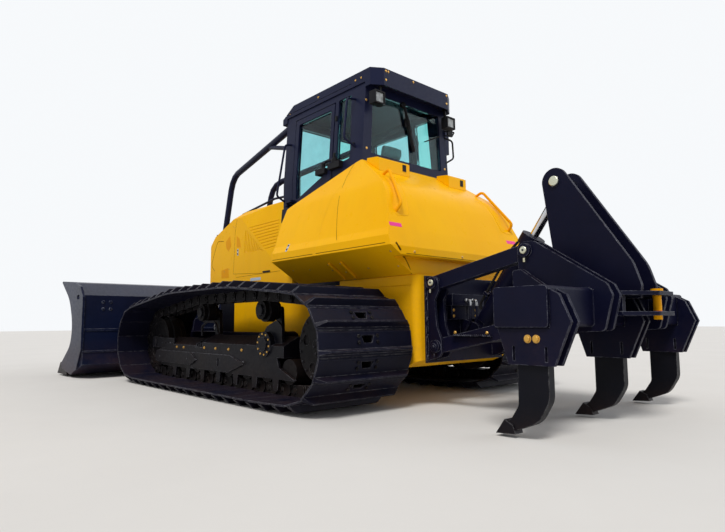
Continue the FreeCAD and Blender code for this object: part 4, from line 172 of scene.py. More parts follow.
def paint(name, base, tone, rough, metallic=0.0, specular=0.5, dust=None, streak=0.0, wear=None,
          bevel=0.004, bump=0.04, bump_scale=60.0, grain=7.0, stretch=None):
    """Painted or bare metal with tone variation, settled dust, streaks and bright worn edges.

    dust: share on top faces, all over and near the floor, and how high the last one reaches, in metres
    wear: share of the edges that is rubbed bare, and the colour there
    """
    made, tree, shader, coords = new_surface(name)
    normal = tree.nodes.new("ShaderNodeNewGeometry").outputs["Normal"]
    broad = noise(tree, coords, grain * 0.35, 6.0)
    fine = noise(tree, coords, grain * 5.0, 8.0, 0.7, stretch)
    colour = mix_colour(tree, map_range(tree, broad, 0.38, 0.68), base, tone)
    roughness = map_range(tree, fine, 0.35, 0.7, *rough)
    if dust:
        earth = settled_dust(tree, coords, normal, streak, *dust)
        colour = mix_colour(tree, earth, colour, EARTH)
        rougher = math_node(tree, "MULTIPLY", earth, DUST_ROUGHER)
        roughness = math_node(tree, "ADD", roughness, rougher)
    if wear:
        amount, bare = wear
        worn = worn_edges(tree, coords, normal, bevel * WEAR_REACH, amount)
        colour = mix_colour(tree, worn, colour, bare)
        smoother = math_node(tree, "MULTIPLY", worn, WEAR_SMOOTHER)
        roughness = math_node(tree, "SUBTRACT", roughness, smoother)
    tree.links.new(colour, shader.inputs["Base Color"])
    tree.links.new(roughness, shader.inputs["Roughness"])
    fill(shader, Metallic=metallic, Specular_IOR_Level=specular)
    height = noise(tree, coords, bump_scale, 6.0, 0.65)
    add_relief(tree, shader, height, bump, RELIEF_DEPTH, soft_edges(tree, bevel))
    return made


def glazing(name, tint):
    made, tree, shader, coords = new_surface(name)
    film = map_range(tree, noise(tree, coords, 5.0, 6.0, 0.65), 0.4, 0.75)
    colour = mix_colour(tree, film, tint, tuple(c * 0.9 for c in tint))
    tree.links.new(colour, shader.inputs["Base Color"])
    rough = map_range(tree, noise(tree, coords, 30.0, 5.0), 0.4, 0.8, 0.0, 0.06)
    tree.links.new(rough, shader.inputs["Roughness"])
    fill(shader, Transmission_Weight=1.0, IOR=1.2, Specular_IOR_Level=0.2)
    return made


def weave(name, base, thread):
    """Cloth of crossing threads with faint stains."""
    made, tree, shader, coords = new_surface(name)
    bands = []
    for direction in ("X", "Z"):
        wave = node(tree, "ShaderNodeTexWave", Scale=70.0, Distortion=1.2)
        wave.bands_direction = direction
        tree.links.new(coords, wave.inputs["Vector"])
        bands.append(wave.outputs["Fac"])
    cloth = math_node(tree, "MULTIPLY", bands[0], bands[1])
    colour = mix_colour(tree, map_range(tree, cloth, 0.1, 0.7), base, thread)
    stain = map_range(tree, noise(tree, coords, 6.0, 6.0), 0.4, 0.7)
    stain = math_node(tree, "MULTIPLY", stain, 0.35)
    colour = mix_colour(tree, stain, colour, tuple(c * 0.6 for c in base))
    tree.links.new(colour, shader.inputs["Base Color"])
    fill(shader, Roughness=0.85, Sheen_Weight=0.3)
    add_relief(tree, shader, cloth, 0.25, 0.001)
    return made


YELLOW = paint("yellow_paint", (0.94, 0.495, 0.001), (0.9, 0.435, 0.001), (0.26, 0.38), specular=0.07,
    dust=(0.05, 0.0, 0.45, 1.25), streak=0.05, bevel=0.006, bump=0.02, grain=2.5)
YELLOW_TRIM = paint("yellow_trim", (0.92, 0.41, 0.001), (0.84, 0.35, 0.001), (0.36, 0.5), specular=0.08,
    dust=(0.08, 0.02), bevel=0.003, grain=4.0)
# darker yellow for the hood's vents: painted shade in their louvres
YELLOW_VENT_SHADE = paint("yellow_shade", (0.84, 0.36, 0.001), (0.8, 0.33, 0.001), (0.5, 0.6), specular=0.12,
    bevel=0.001, grain=6.0)
SEAM = paint("seam_shadow", (0.12, 0.05, 0.004), (0.08, 0.032, 0.003), (0.7, 0.85), specular=0.05,
    bevel=0.001)
CAB = paint("cab_paint", (0.007, 0.01, 0.036), (0.005, 0.007, 0.028), (0.36, 0.5), specular=0.12,
    dust=(0.05, 0.01), wear=(0.3, (0.11, 0.115, 0.15)), bump=0.03, bump_scale=160.0)
TOOL = paint("tool_paint", (0.0035, 0.0045, 0.019), (0.0025, 0.0032, 0.014), (0.36, 0.52), specular=0.09,
    dust=(0.06, 0.01, 0.18, 0.7), wear=(0.9, (0.24, 0.25, 0.3)), bevel=0.005, bump=0.05, bump_scale=110.0)
BLADE = paint("blade_paint", (0.005, 0.009, 0.034), (0.003, 0.006, 0.024), (0.3, 0.46), specular=0.14,
    dust=(0.05, 0.0, 0.35, 0.5), wear=(0.8, (0.24, 0.26, 0.31)), bevel=0.006, bump=0.05, bump_scale=70.0)
UNDER = paint("under_paint", (0.004, 0.0042, 0.008), (0.003, 0.003, 0.005), (0.36, 0.56), specular=0.1,
    dust=(0.12, 0.01, 0.08, 0.45), wear=(0.9, (0.22, 0.225, 0.26)), bevel=0.005, bump=0.06)
TRACK = paint("track_steel", (0.005, 0.006, 0.018), (0.003, 0.0035, 0.012), (0.34, 0.55), specular=0.12,
    dust=(0.07, 0.01, 0.08, 0.35), wear=(0.9, (0.2, 0.2, 0.22)), bevel=0.006, bump=0.1, bump_scale=80.0)
CHAIN = paint("chain_steel", (0.005, 0.005, 0.007), (0.003, 0.003, 0.004), (0.42, 0.66), specular=0.08,
    dust=(0.1, 0.02, 0.1, 0.45), wear=(0.8, (0.16, 0.16, 0.17)), bevel=0.005, bump=0.1)
WORN = paint("worn_steel", (0.005, 0.0056, 0.01), (0.0035, 0.004, 0.007), (0.34, 0.5), metallic=0.1,
    specular=0.1, dust=(0.0, 0.01, 0.12, 0.2), wear=(0.9, (0.22, 0.22, 0.23)), bevel=0.006, bump=0.1,
    bump_scale=45.0)
CHROME = paint("rod_chrome", (0.62, 0.62, 0.64), (0.52, 0.52, 0.54), (0.1, 0.2), metallic=1.0,
    dust=(0.0, 0.03), bevel=0.002, bump=0.01, stretch=(1.0, 1.0, 0.15))
BRASS = paint("zinc_bolt", (0.66, 0.37, 0.06), (0.5, 0.26, 0.04), (0.28, 0.45), metallic=0.4,
    dust=(0.0, 0.03), wear=(0.6, (0.8, 0.68, 0.38)), bevel=0.002, bump=0.04)
PIN = paint("pin_face", (0.6, 0.62, 0.5), (0.5, 0.44, 0.24), (0.3, 0.45), metallic=0.7, dust=(0.0, 0.04),
    bevel=0.002, bump=0.05)
BLACK = paint("black_plastic", (0.006, 0.006, 0.008), (0.009, 0.009, 0.011), (0.45, 0.62), specular=0.12,
    dust=(0.05,), bevel=0.003, bump=0.08, bump_scale=260.0)
CONSOLE = paint("console_plastic", (0.045, 0.047, 0.052), (0.036, 0.037, 0.041), (0.5, 0.65), dust=(0.05,),
    bevel=0.006, bump=0.1, bump_scale=300.0)
LINING = paint("cab_lining", (0.01, 0.012, 0.017), (0.008, 0.009, 0.013), (0.6, 0.75), specular=0.2,
    bevel=0.003, bump=0.06, bump_scale=280.0)
RUBBER = paint("hose_rubber", (0.01, 0.01, 0.012), (0.016, 0.016, 0.017), (0.5, 0.68), specular=0.12,
    dust=(0.1, 0.02), bevel=0.002, bump=0.06, bump_scale=300.0)
ENGINE = paint("engine_paint", (0.1, 0.1, 0.1), (0.07, 0.07, 0.07), (0.45, 0.65), dust=(0.2,), bump=0.1)
EXHAUST = paint("exhaust_black", (0.015, 0.014, 0.014), (0.03, 0.022, 0.018), (0.55, 0.75),
    dust=(0.05, 0.02), bump=0.12, bump_scale=120.0)
PINK = paint("reflector", (0.85, 0.035, 0.32), (0.78, 0.025, 0.26), (0.3, 0.4), specular=0.3, bevel=0.002,
    bump=0.15, bump_scale=500.0)
ORANGE = paint("hitch_orange", (0.86, 0.1, 0.004), (0.7, 0.07, 0.004), (0.35, 0.45), specular=0.3,
    bevel=0.002)
STEEL = paint("bright_steel", (0.55, 0.56, 0.58), (0.42, 0.43, 0.45), (0.22, 0.34), metallic=0.9,
    dust=(0.0, 0.02), bevel=0.002, bump=0.02)
LATCH = paint("latch_plate", (0.42, 0.5, 0.6), (0.34, 0.41, 0.5), (0.25, 0.35), metallic=0.4, bevel=0.001,
    bump=0.02)
LENS = paint("lamp_lens", (0.34, 0.36, 0.36), (0.1, 0.11, 0.11), (0.08, 0.2), specular=0.4, bevel=0.001,
    bump=0.6, bump_scale=90.0, grain=30.0)
GLASS = glazing("cab_glass", (0.46, 0.83, 0.82))
DOOR_GLASS = glazing("door_glass", (0.56, 0.78, 0.84))
CLOTH = weave("seat_cloth", (0.17, 0.18, 0.20), (0.27, 0.29, 0.32))

CAD_LOOKS = {
    "track_steel": CHAIN, "undercarriage_dark": UNDER, "wheel_steel": CHAIN, "body_yellow": YELLOW,
    "cab_dark": CAB, "attachment_dark": TOOL, "worn_steel": WORN, "tinted_glass": GLASS,
    "seat_cloth": CLOTH, "cab_plastic": CONSOLE, "cylinder_paint": TOOL, "rod_chrome": CHROME,
    "lamp_black": BLACK, "exhaust_dark": EXHAUST, "engine_iron": ENGINE,
}
OWN_LOOKS = {
    "blade": BLADE, "door_glass_left": DOOR_GLASS, "door_glass_right": DOOR_GLASS,
    "hitch_pin": YELLOW_TRIM, "tank_handrails": YELLOW_TRIM, "main_frame": UNDER,
}
slots = {row["node"]: row["material_slot"] for row in frame["record"]["subparts"]}
for name, thing in NODES.items():
    look = OWN_LOOKS.get(name, CAD_LOOKS.get(slots[name], TOOL))
    thing.data.materials.clear()
    thing.data.materials.append(look)


# Mesh helpers

class Build:
    """Collects simple solids into one mesh piece."""

    def __init__(self):
        self.mesh = bmesh.new()

    def verts(self, points):
        return [self.mesh.verts.new(p) for p in points]

    def prism(self, outline, depth):
        """outline: points of one end; depth: vector to the other end."""
        count = len(outline)
        verts = self.verts(list(outline) + [p + depth for p in outline])
        polygons = [tuple(reversed(range(count))), tuple(range(count, 2 * count))]
        for i in range(count):
            n = (i + 1) % count
            polygons.append((i, n, count + n, count + i))
        for polygon in polygons:
            self.mesh.faces.new([verts[i] for i in polygon])

    def block(self, low, high):
        x0, y0, z0 = low
        x1, y1, z1 = high
        outline = [at(x0, y0, z0), at(x1, y0, z0), at(x1, y1, z0), at(x0, y1, z0)]
        self.prism(outline, at(0, 0, z1) - at(0, 0, z0))

    def plate_y(self, outline, y0, y1):
        self.prism([at(x, y0, z) for x, z in outline], Vector((0, (y1 - y0) / MM, 0)))

    def ring(self, centre, side, up, radius, count, spin=0.0):
        angles = [2 * math.pi * k / count + spin for k in range(count)]
        return self.verts(centre + (side * math.cos(a) + up * math.sin(a)) * radius / MM for a in angles)

    def bridge(self, a, b):
        """Faces between two rings, of which one may be a single point."""
        count = max(len(a), len(b))
        for k in range(count):
            n = (k + 1) % count
            if len(a) == 1:
                self.mesh.faces.new((a[0], b[n], b[k]))
            elif len(b) == 1:
                self.mesh.faces.new((a[k], a[n], b[0]))
            else:
                self.mesh.faces.new((a[k], a[n], b[n], b[k]))

    def skin(self, rings):
        """Faces along a row of rings, with its ends closed."""
        for a, b in zip(rings, rings[1:]):
            self.bridge(a, b)
        if len(rings[0]) > 1:
            self.mesh.faces.new(list(reversed(rings[0])))
        if len(rings[-1]) > 1:
            self.mesh.faces.new(rings[-1])

    def between(self, first, second):
        """Solid between two outlines with the same number of points."""
        ends = [self.verts(first), self.verts(second)]
        self.bridge(*ends)
        for end in ends:
            self.mesh.faces.new(end)

    def turned(self, start, axis, profile, count=16, spin=0.0):
        """profile: (distance along the axis, radius) in mm from start."""
        axis = Vector(axis).normalized()
        side = axis.orthogonal().normalized()
        up = axis.cross(side)
        rings = []
        for along, radius in profile:
            centre = start + axis * along / MM
            if radius <= 0:
                rings.append(self.verts([centre]))
            else:
                rings.append(self.ring(centre, side, up, radius, count, spin))
        self.skin(rings)

    def bolt(self, place, axis, size=12.0, height=9.0, washer=True, spin=0.0):
        """Hexagon head of half width size, standing along axis from place, on a washer."""
        if washer:
            self.turned(place, axis, [(-1.0, size * 1.45), (1.6, size * 1.45), (2.4, size * 1.3)], 14)
        head = [(-1.0, size * 1.12), (height * 0.8, size * 1.12), (height, size * 0.92)]
        self.turned(place, axis, head, 6, spin)

    def tube(self, points, radius, count=10):
        """Round bar through points that are already smooth enough."""
        points = [Vector(p) for p in points]
        rings = []
        side = None
        for i, p in enumerate(points):
            ahead = points[min(i + 1, len(points) - 1)] - points[max(i - 1, 0)]
            ahead.normalize()
            if side is None:
                side = ahead.orthogonal().normalized()
            side = (side - ahead * side.dot(ahead)).normalized()
            rings.append(self.ring(p, side, ahead.cross(side), radius, count))
        self.skin(rings)

    def make(self, name, look, slot=None, body="chassis", sharp=32.0):
        """The finished piece; edges below the angle sharp, in degrees, are shaded smooth."""
        bmesh.ops.recalc_face_normals(self.mesh, faces=self.mesh.faces)
        for edge in self.mesh.edges:
            edge.smooth = len(edge.link_faces) == 2 and edge.calc_face_angle(0) < math.radians(sharp)
        for face in self.mesh.faces:
            face.smooth = True
        thing = self.place(name)
        thing.data.materials.append(look)
        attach(thing, body)
        return thing

    def place(self, name):
        data = bpy.data.meshes.new(name)
        self.mesh.to_mesh(data)
        self.mesh.free()
        return new_object(name, data)


def new_object(name, data):
    thing = bpy.data.objects.new(name, data)
    bpy.context.scene.collection.objects.link(thing)
    return thing


def builds(count):
    return [Build() for _ in range(count)]


def rounded(points, radius, steps=6):
    """A path with each inner corner turned into an arc of the given radius, in mm."""
    out = [points[0]]
    for a, b, c in zip(points, points[1:], points[2:]):
        back, ahead = (a - b).normalized(), (c - b).normalized()
        half = back.angle(ahead) / 2
        reach = min(radius / MM / math.tan(half), (a - b).length * 0.48, (c - b).length * 0.48)
        real = reach * math.tan(half)
        centre = b + (back + ahead).normalized() * (real / math.sin(half))
        start, end = b + back * reach - centre, b + ahead * reach - centre
        total = start.angle(end)
        for k in range(steps + 1):
            t = k / steps
            turned = (start * math.sin((1 - t) * total) + end * math.sin(t * total)) / math.sin(total)
            out.append(centre + turned)
    out.append(points[-1])
    return out


def ring_of_bolts(made, centre, axis, radius, count, size, height):
    axis = Vector(axis)
    side = axis.orthogonal().normalized()
    up = axis.cross(side)
    for k in range(count):
        a = 2 * math.pi * k / count
        place = centre + (side * math.cos(a) + up * math.sin(a)) * radius / MM
        made.bolt(place, axis, size, height, False, a)


# Camera, stage and lights

CAMERA = at(-3399.01, 3830.23, 674.20)
YAW, PITCH, ROLL = 0.730701, 0.100933, -0.006851
PHOTO_WIDE = 725.0  # pixels
FOCAL = 554.268  # pixels
CENTRE = (362.5, 266.0)  # pixels
FLOOR_REACH = 60.0  # metres


def camera_axes():
    """Forward, right and up directions of the photograph's camera."""
    level = math.cos(PITCH)
    forward = Vector((level * math.cos(YAW), -level * math.sin(YAW), math.sin(PITCH)))
    side = Vector((-math.sin(YAW), -math.cos(YAW), 0.0))
    up = side.cross(forward)
    right = side * math.cos(ROLL) + up * math.sin(ROLL)
    return forward, right, up * math.cos(ROLL) - side * math.sin(ROLL)


def set_camera():
    forward, right, top = camera_axes()
    data = bpy.data.cameras.new("camera")
    data.sensor_width = 36.0
    data.lens = FOCAL / PHOTO_WIDE * data.sensor_width
    data.clip_start, data.clip_end = 0.05, 200.0
    camera = new_object("camera", data)
    rotation = Matrix((right, top, -forward)).transposed().to_4x4()
    camera.matrix_world = Matrix.Translation(CAMERA) @ rotation
    bpy.context.scene.camera = camera


def set_stage():
    data = bpy.data.meshes.new("floor")
    corners = [(x * FLOOR_REACH, y * FLOOR_REACH, 0) for x, y in ((-1, -1), (1, -1), (1, 1), (-1, 1))]
    data.from_pydata(corners, [], [(0, 1, 2, 3)])
    floor = new_object("floor", data)
    look, tree, shader, coords = new_surface("floor_paper")
    clouds = map_range(tree, noise(tree, coords, 0.8), 0.3, 0.7)
    colour = mix_colour(tree, clouds, (0.74, 0.73, 0.715), (0.77, 0.76, 0.745))
    tree.links.new(colour, shader.inputs["Base Color"])
    fill(shader, Roughness=0.9, Specular_IOR_Level=0.1)
    data.materials.append(look)


def set_world():
    """Soft light on the machine, and a pale background where it is seen or mirrored."""
    world = bpy.data.worlds.new("studio")
    bpy.context.scene.world = world
    world.use_nodes = True
    tree = world.node_tree
    tree.nodes.clear()
    rays = tree.nodes.new("ShaderNodeLightPath").outputs
    mirrored_ray = math_node(tree, "MAXIMUM", rays["Is Glossy Ray"], rays["Is Transmission Ray"])
    shown = math_node(tree, "MAXIMUM", rays["Is Camera Ray"], mirrored_ray)
    light = node(tree, "ShaderNodeBackground", Color=(0.98, 0.98, 1.0, 1.0), Strength=0.42)
    pale = node(tree, "ShaderNodeBackground", Color=(0.93, 0.95, 0.97, 1.0), Strength=1.0)
    both = tree.nodes.new("ShaderNodeMixShader")
    out = tree.nodes.new("ShaderNodeOutputWorld")
    tree.links.new(shown, both.inputs[0])
    tree.links.new(light.outputs[0], both.inputs[1])
    tree.links.new(pale.outputs[0], both.inputs[2])
    tree.links.new(both.outputs[0], out.inputs["Surface"])


def set_lamps():
    for name, strength, direction, angle, colour in (
            ("key", 2.1, (0.42, -0.62, -0.95), 18.0, (1.0, 0.97, 0.92)),
            ("fill", 0.55, (0.75, 0.62, -0.35), 40.0, (0.90, 0.95, 1.0))):
        data = bpy.data.lights.new(name, "SUN")
        data.energy = strength
        data.angle = math.radians(angle)
        data.color = colour
        lamp = new_object(name, data)
        lamp.rotation_mode = "QUATERNION"
        lamp.rotation_quaternion = Vector(direction).to_track_quat("-Z", "Y")


# Tracks, in mm

SHOES = 46
PLATE = 14.0  # thickness of a shoe
GROUSER = 58.0  # height of its bar
GROUSER_FOOT = 17.0  # half width of the bar at the plate
CHAIN_HEIGHT = 96.0
GAUGE_HALF = 1092.0
SHOE_HALF = 457.0
HOLE_WIDE, HOLE_SLIM = 62.0, 40.0  # half widths of the opening in a shoe
LINK_OFFSET, LINK_THICK, LINK_END = 75.0, 28.0, 30.0
OUTER, INNER = 1, 2
# round places that the joints run over: x, z and radius
LOOP = [(0.0, 486.0, 414.0), (420.0, 273.0, 215.0), (2780.0, 273.0, 215.0), (3170.0, 465.0, 400.0),
        (2130.0, 785.0, 200.0), (940.0, 788.0, 200.0)]


def tangent(first, second):
    """Where the straight run between two round places starts and ends, and its side's angle."""
    x0, z0, r0 = first
    x1, z1, r1 = second
    heading = math.atan2(z1 - z0, x1 - x0)
    side = heading - math.pi / 2 + math.asin((r0 - r1) / math.hypot(x1 - x0, z1 - z0))
    start = (x0 + r0 * math.cos(side), z0 + r0 * math.sin(side))
    end = (x1 + r1 * math.cos(side), z1 + r1 * math.sin(side))
    return start, end, side


def loop_runs():
    """Straight runs (length, start, end, None) and bends (length, centre, radius, first angle)."""
    count = len(LOOP)
    tangents = [tangent(LOOP[i], LOOP[(i + 1) % count]) for i in range(count)]
    runs = []
    for i, (start, end, side) in enumerate(tangents):
        n = (i + 1) % count
        runs.append((math.dist(start, end), start, end, None))
        x, z, r = LOOP[n]
        runs.append((r * ((tangents[n][2] - side) % (2 * math.pi)), (x, z), r, side))
    return runs


def loop_joints():
    runs = loop_runs()
    total = sum(run[0] for run in runs)
    return [place_on_runs(runs, total * k / SHOES) for k in range(SHOES)]


def place_on_runs(runs, left):
    for length, first, second, side in runs:
        if left <= length:
            if side is None:
                return tuple(a + (b - a) * left / length for a, b in zip(first, second))
            a = side + left / second
            return first[0] + second * math.cos(a), first[1] + second * math.sin(a)
        left -= length


def shoe_frame(joints, i):
    (x0, z0), (x1, z1) = joints[i], joints[(i + 1) % SHOES]
    pitch = math.dist((x0, z0), (x1, z1))
    ux, uz = (x1 - x0) / pitch, (z1 - z0) / pitch
    return x0, z0, ux, uz, pitch


def place_in(shoe, t, y, n):
    """A place t along a shoe and n out from its face."""
    x0, z0, ux, uz, _ = shoe
    return at(x0 + ux * t + uz * n, y, z0 + uz * t - ux * n)


def add_plate(made, shoe, centre):
    """Plate of a shoe, with lipped edges and the opening in its middle."""
    pitch = shoe[4]
    lead, foot = 5.0, pitch * 0.80
    rows = [(lead, -7.0), (lead + 12.0, 0.0), (pitch * 0.22, 0.0), (pitch * 0.50, 0.0),
            (foot - GROUSER_FOOT, 0.0), (foot + GROUSER_FOOT, 0.0), (pitch - 1.0, -3.0)]
    columns = [-SHOE_HALF, -HOLE_WIDE, HOLE_WIDE, SHOE_HALF]
    hole = [(2, 1), (2, 2), (3, 2), (3, 1)]
    last = len(rows) - 1
    verts = {}
    for level in (OUTER, INNER):
        for r, (t, face) in enumerate(rows):
            for c, y in enumerate(columns):
                if (r, c) in hole[2:]:
                    y = math.copysign(HOLE_SLIM, y)
                n = face if level == OUTER else -PLATE
                verts[level, (r, c)] = made.mesh.verts.new(place_in(shoe, t, centre + y, n))
    for r in range(last):
        for c in range(3):
            if (r, c) == hole[0]:
                continue
            for level in (OUTER, INNER):
                corners = ((r, c), (r + 1, c), (r + 1, c + 1), (r, c + 1))
                made.mesh.faces.new([verts[level, corner] for corner in corners])
    edges = [((r, c), (r, c + 1)) for c in range(3) for r in (0, last)]
    edges += [((r, c), (r + 1, c)) for r in range(last) for c in (0, 3)]
    edges += list(zip(hole, hole[1:] + hole[:1]))
    for a, b in edges:
        made.mesh.faces.new([verts[OUTER, a], verts[OUTER, b], verts[INNER, b], verts[INNER, a]])


def add_grouser(made, shoe, centre):
    """Bar with sloped ends, standing a little into the plate."""
    foot, low, high = shoe[4] * 0.80, 8.0, GROUSER
    # (shift along the shoe, height, how far the end is cut back)
    outline = [(-GROUSER_FOOT, -2.0, 0.0), (-15.5, low, 0.0), (-8.0, high - 3.0, 59.0), (-5.0, high, 62.0),
               (5.0, high, 62.0), (8.0, high - 3.0, 59.0), (15.5, low, 0.0), (GROUSER_FOOT, -2.0, 0.0)]
    ends = []
    for sign in (-1.0, 1.0):
        ends.append([place_in(shoe, foot + shift, centre + sign * (SHOE_HALF - cut), n)
                     for shift, n, cut in outline])
    made.between(*ends)


def add_links(made, shoe, centre):
    """Two overlapping links on each side, and the bushing across them."""
    pitch = shoe[4]
    root, shoulder, side_face = -PLATE - CHAIN_HEIGHT, -44.0, -22.0
    for side in (-1.0, 1.0):
        for shift, t0, t1 in ((-9.0, -LINK_END, pitch * 0.62), (9.0, pitch * 0.38, pitch + LINK_END)):
            y0 = centre + side * LINK_OFFSET + side * shift - LINK_THICK / 2
            outline = [(t0 + 14.0, root), (t1 - 14.0, root), (t1, -88.0), (t1, shoulder),
                       (t1 - 20.0, side_face), (t1 - 34.0, -PLATE), (t0 + 34.0, -PLATE),
                       (t0 + 20.0, side_face), (t0, shoulder), (t0, -88.0)]
            made.between(*[[place_in(shoe, t, y, n) for t, n in outline] for y in (y0, y0 + LINK_THICK)])
    bushing = [(0, 20.0), (3, 24.0), (221, 24.0), (224, 20.0)]
    made.turned(place_in(shoe, 0.0, centre - 112.0, -62.0), (0, 1, 0), bushing, 12)


def make_tracks():
    joints = loop_joints()
    for name, side in (("left", LEFT), ("right", RIGHT)):
        shoes, chain, bolts = builds(3)
        centre = side * GAUGE_HALF
        for i in range(SHOES):
            shoe = shoe_frame(joints, i)
            add_plate(shoes, shoe, centre)
            add_grouser(shoes, shoe, centre)
            add_links(chain, shoe, centre)
            _, _, ux, uz, pitch = shoe
            out = Vector((uz, 0.0, -ux))
            for y in (-92.0, 92.0):
                for t in (pitch * 0.24, pitch * 0.48):
                    bolts.bolt(place_in(shoe, t, centre + y, 0.0), out, 13.0, 11.0, False, 0.3 * i)
        piece = shoes.make("shoes_" + name, TRACK, "track_steel", sharp=25.0)
        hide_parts("track_" + name)
        chain.make("chain_" + name, CHAIN, "track_steel", sharp=30.0)
        bolts.make("shoe_bolts_" + name, CHAIN, "track_steel", sharp=30.0)


# Places on the faces of the source's solids

SINK = 0.0006  # metres that a thin plate stands in its face


def hit(name, start, direction):
    """Where a ray from start first meets a node, and the face's outward direction there."""
    found, place, normal, _ = NODES[name].ray_cast(start, Vector(direction).normalized())
    if not found:
        raise ValueError("no face of " + name + " on that ray")
    return place, normal.normalized()


def side_of(name, x, z, side):
    """The outer face of a node at a height and a place along the machine."""
    return hit(name, at(x, side * OUTSIDE, z), (0.0, -side, 0.0))


def back_of(name, y, z):
    """The rear face of a node at a height and a place across the machine."""
    return hit(name, at(-OUTSIDE, y, z), (1, 0, 0))


def seen(names, px, py):
    """The nearest place on the named nodes at a pixel of the photograph."""
    forward, right, top = camera_axes()
    ray = forward + right * ((px - CENTRE[0]) / FOCAL) + top * ((CENTRE[1] - py) / FOCAL)
    ray.normalize()
    best = None
    for name in names:
        found, place, normal, _ = NODES[name].ray_cast(CAMERA, ray)
        if found and (best is None or (place - CAMERA).length < (best[0] - CAMERA).length):
            best = place, normal.normalized()
    if best is None:
        raise ValueError("nothing at that pixel: " + str((px, py)))
    return best


def mirrored(pairs):
    """The same places and directions on the other side of the machine."""
    flip = Vector((1, -1, 1))
    return [(place * flip, normal * flip) for place, normal in pairs]


def frame_on(normal, up):
    """Right and up directions on a face, with up as near as can be to the given one."""
    up = Vector(up)
    up = (up - normal * up.dot(normal)).normalized()
    return up.cross(normal).normalized(), up


def pad(made, place, normal, wide, high, thick, up=UPWARD, corner=0.0):
    """Thin plate on a face, in mm."""
    right, up = frame_on(normal, up)
    w, h, c = wide / (2 * MM), high / (2 * MM), corner / MM
    if c:
        outline = [(-w + c, -h), (w - c, -h), (w, -h + c), (w, h - c),
                   (w - c, h), (-w + c, h), (-w, h - c), (-w, -h + c)]
    else:
        outline = [(-w, -h), (w, -h), (w, h), (-w, h)]
    points = [place - normal * SINK + right * a + up * b for a, b in outline]
    made.prism(points, normal * (thick / MM + SINK))


def strip(made, points, wide=3.0, proud=0.7, sink=0.4):
    """Thin line along (place, normal) pairs that lie on faces."""
    for (a, na), (b, nb) in zip(points, points[1:]):
        along = b - a
        if along.length < 1e-6:
            continue
        normal = (na + nb).normalized()
        across = along.cross(normal).normalized() * (wide / (2 * MM))
        along = along.normalized() * (wide / (4 * MM))
        low = normal * (sink / MM)
        outline = [a - along + across - low, b + along + across - low,
                   b + along - across - low, a - along - across - low]
        made.prism(outline, normal * ((proud + sink) / MM))


def spread(points, step):
    """Points at nearly even steps, in mm, along a line of (a, b) points."""
    out = []
    for (a0, b0), (a1, b1) in zip(points, points[1:]):
        count = max(1, int(math.dist((a0, b0), (a1, b1)) / step))
        for k in range(count + (1 if (a1, b1) == points[-1] else 0)):
            share = k / count
            out.append((a0 + (a1 - a0) * share, b0 + (b1 - b0) * share))
    return out


def line_on(name, points, side, step=45.0):
    """Places on a node's side face along a line of (x, z) points."""
    return [side_of(name, x, z, side) for x, z in spread(points, step)]


def line_back(name, points, step=45.0):
    """Places on a node's rear face along a line of (y, z) points."""
    return [back_of(name, y, z) for y, z in spread(points, step)]


def arc(points, radius, steps=5):
    """(a, b) points with rounded corners."""
    flat = rounded([Vector((a / MM, 0, b / MM)) for a, b in points], radius, steps)
    return [(p.x * MM, p.z * MM) for p in flat]


# Undercarriage, in mm; the faces are distances from the middle of the machine

GUARD_FACE, DRIVE_FACE, CARRIER_FACE = 1215.0, 1225.0, 1177.0
INNER_LAYER, OUTER_LAYER, HOUSING_FACE = 1242.0, 1256.0, 1270.0
SPROCKET, PIVOT, IDLER = (0, 486), (761, 490), (3170, 465)
CARRIERS = ((940.0, 788.0), (2130.0, 785.0))
IDLER_CAP = [(-2, 52.0), (8, 52.0), (12, 44.0), (12, 0)]
CARRIER_CAP = [(-1, 52.0), (14, 52.0), (18, 46.0), (18, 0)]


def make_undercarriage():
    bright, dark, hole_shade = builds(3)
    for side in (LEFT, RIGHT):
        out = (0, side, 0)

        def face(x, z, distance):
            return at(x, side * distance, z)

        ring_of_bolts(dark, face(*SPROCKET, GUARD_FACE), out, 262.0, 20, 10.0, 8.0)
        ring_of_bolts(dark, face(*SPROCKET, DRIVE_FACE), out, 72.0, 8, 8.0, 7.0)
        ring_of_bolts(bright, face(*PIVOT, OUTER_LAYER), out, 90.0, 10, 8.0, 7.0)
        for x, z in ((1151, 427), (1397, 427), (1657, 427), (1900, 427), (2385, 418), (2560, 418)):
            bright.bolt(face(x, z, INNER_LAYER), out, 10.0, 9.0)
        # black discs where the frame has small holes: painted shade inside the holes
        for x in (1703, 1456):
            for z in (341, 288, 234):
                hole_shade.turned(face(x, z, OUTER_LAYER), out, [(-1, 6.0), (0.8, 6.0)], 12)
        for x in (2680, 2745, 2880, 2950):
            dark.bolt(face(x, 455, INNER_LAYER), out, 8.0, 7.0)
        for x, z, layer in ((1100, 320, OUTER_LAYER), (2250, 300, HOUSING_FACE), (2960, 300, HOUSING_FACE)):
            dark.bolt(face(x, z, layer), out, 8.0, 6.0)
        dark.turned(face(*IDLER, INNER_LAYER), out, IDLER_CAP, 20)
        for x, z in CARRIERS:
            dark.turned(face(x, z, CARRIER_FACE), out, CARRIER_CAP, 20)
            ring_of_bolts(dark, face(x, z, CARRIER_FACE), out, 62.0, 6, 6.0, 6.0)
        # small steps on the guard plate
        for x in (1060, 1560, 1890):
            dark.block((x - 26, side * (INNER_LAYER - 60), 474), (x + 26, side * (INNER_LAYER + 2), 482))
        # grease line from the recoil housing up to the front carrier and back
        path = [(2140, 545, 1150), (2120, 640, 1165), (2010, 690, 1160), (1850, 690, 1150),
                (1800, 560, 1140)]
        dark.tube(rounded([face(*point) for point in path], 60.0), 13.0, 8)
    bright.make("frame_bolts", BRASS)
    dark.make("frame_details", UNDER, "undercarriage_dark")
    hole_shade.make("frame_hole_shade", BLACK, "undercarriage_dark")


# Hood, fenders, tank and case

